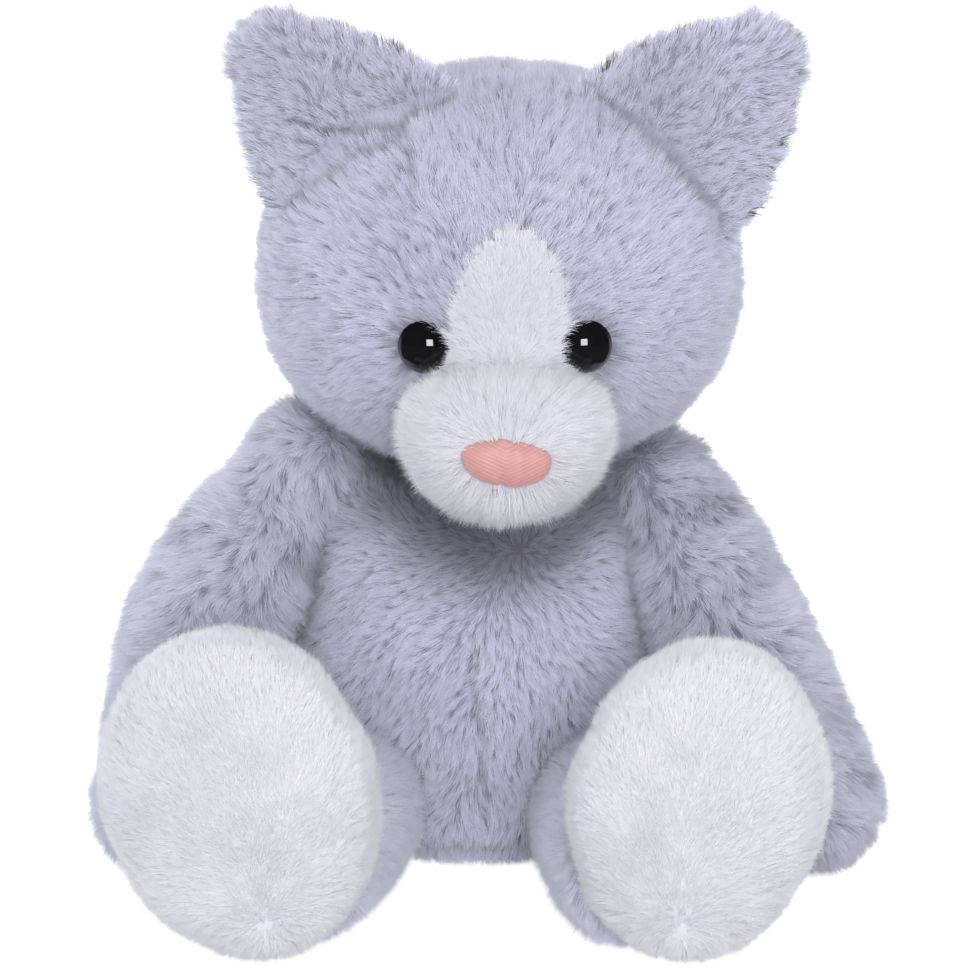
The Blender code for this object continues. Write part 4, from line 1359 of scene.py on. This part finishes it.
def make_foot(side, sign, forms, white):
    foot = forms[f"foot_{side}"]

    def comb(points, normals, locals_):
        """Out and upward over the sole, and straight back round its sides."""
        out = locals_ / FOOT_HALF_THICK
        out[:, 1] += SOLE_RISE
        out[:, 2] = np.where(locals_[:, 2] > SOLE_EDGE, 0, -1)
        return along_skin(out @ foot.place[:3, :3].T, normals)

    # painted shade along the sole's seam
    def seam_shade(points):
        depth, half = SOLE_SEAM_PAINTED_SHADE
        return 1 - depth * np.exp(-((foot.to_local(points)[:, 2] - SOLE_SEAM) / half) ** 2)

    nap = coat_of(foot, FOOT_PILE, comb, everywhere, SEED + 60 + sign, with_painted_lightness(FOOT_PAINTED_LIGHT, seam_shade))
    edge = (0, 0, SOLE_SEAM)
    seams = {
        "sole": [(edge, (0, 0, 1))],
        "inner": [(edge, (0, 0, -1)), ((0, 0, 0), (-sign, 0, 0))],
        "outer": [(edge, (0, 0, -1)), ((0, 0, 0), (sign, 0, 0))],
    }
    for name, planes in seams.items():
        node = f"foot_{side}_{name}"
        plush_panel(node, f"leg_{side}", foot, planes, nap, white)


def make_tail(forms, gray):
    tail = forms["tail"]

    def comb(points, normals, locals_):
        return along_skin(np.tile(tail.place[:3, 2], (len(points), 1)), normals)

    def keep(points, normals, locals_):
        return locals_[:, 2] > LIMB_START

    coat = coat_of(tail, EAR_PILE, comb, keep, SEED + 70)
    for name, half in (("left", TO_LEFT), ("right", TO_RIGHT)):
        plush_panel(f"tail_{name}", "tail", tail, [half], coat, gray)


# ---------------------------------------------------------------- what lies inside

def mottled_material(name, roughness, dark, light, scale, stretch, bump):
    """Two tones mixed by fine noise, which may be drawn out along an axis."""
    made, tree = new_material(name)
    place = add_node(tree, "Mapping", [("Vector", object_place(tree)), ("Scale", stretch)])
    inputs = [("Vector", place.outputs["Vector"]), ("Scale", scale), ("Detail", 6)]
    noise = add_node(tree, "TexNoise", inputs).outputs["Fac"]
    colour = add_ramp(tree, noise, ((0.3, dark), (0.7, light)))
    normal = add_bump(tree, noise, 0.5, bump)
    feed_shader(tree, roughness, [("Base Color", colour), ("Normal", normal)])
    return made


def woven_material(name, dark, light, pitch):
    """Plain cloth: two crossed sets of threads."""
    made, tree = new_material(name)
    place = object_place(tree)
    inputs = [("Vector", place), ("Scale", math.pi / 10 / pitch), ("Distortion", 0.4)]
    threads = [
        add_node(tree, "TexWave", inputs, bands_direction=direction).outputs["Fac"]
        for direction in ("X", "Z")
    ]
    crossed = add_node(tree, "Math", list(enumerate(threads)), operation="MAXIMUM").outputs[0]
    colour = add_ramp(tree, crossed, ((0, dark), (1, light)))
    normal = add_bump(tree, crossed, 1.0, pitch / 4)
    feed_shader(tree, 0.9, [("Base Color", colour), ("Normal", normal)])
    return made


def dress_insides():
    """Gives each CAD node that stays in the scene its own finish."""
    fibre = mottled_material(
        "stuffing_fibre", 1.0, (0.62, 0.62, 0.62), (0.86, 0.86, 0.85), 420, (1, 1, 0.25), 0.0004
    )
    cloth = woven_material("pellet_cloth", (0.52, 0.48, 0.41), (0.74, 0.70, 0.62), 0.0006)
    plastic = mottled_material(
        "washer_plastic", 0.4, (0.70, 0.70, 0.67), (0.78, 0.78, 0.75), 300, (1, 1, 1), 0.00002
    )
    # partly the thread's own pink, and partly painted shade for the dimple it sits in
    thread = mottled_material(
        "pink_thread", 0.8, (0.36, 0.27, 0.29), (0.46, 0.37, 0.39), 900, (1, 1, 0.3), 0.0001
    )
    for name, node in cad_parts.items():
        look = None
        if name.endswith("_stuffing"):
            look = fibre
        elif name.endswith("_pellets") or name == "pellet_bag":
            look = cloth
        elif name.startswith("eye_washer"):
            look = plastic
        elif name == "nose_thread":
            look = thread
        if look:
            node.data.materials.clear()
            node.data.materials.append(look)


make_studio()
gray = pile_material("gray_pile", GRAY_RAMP, 0.30)
white = pile_material("white_pile", WHITE_RAMP, 0.12)
forms = make_forms()
make_skull(forms, gray, white)
make_muzzle(forms, white)
for side, sign, _ in SIDES:
    make_ear(side, sign, forms, gray)
make_torso(forms, gray)
for side, sign, shape in SIDES:
    make_arm(side, sign, shape, forms, gray)
    make_leg(side, sign, forms, gray)
    make_foot(side, sign, forms, white)
make_tail(forms, gray)
black = eye_material()
for side, sign, _ in SIDES:
    make_eye(side, sign, black)
make_nose(satin_material())
dress_insides()
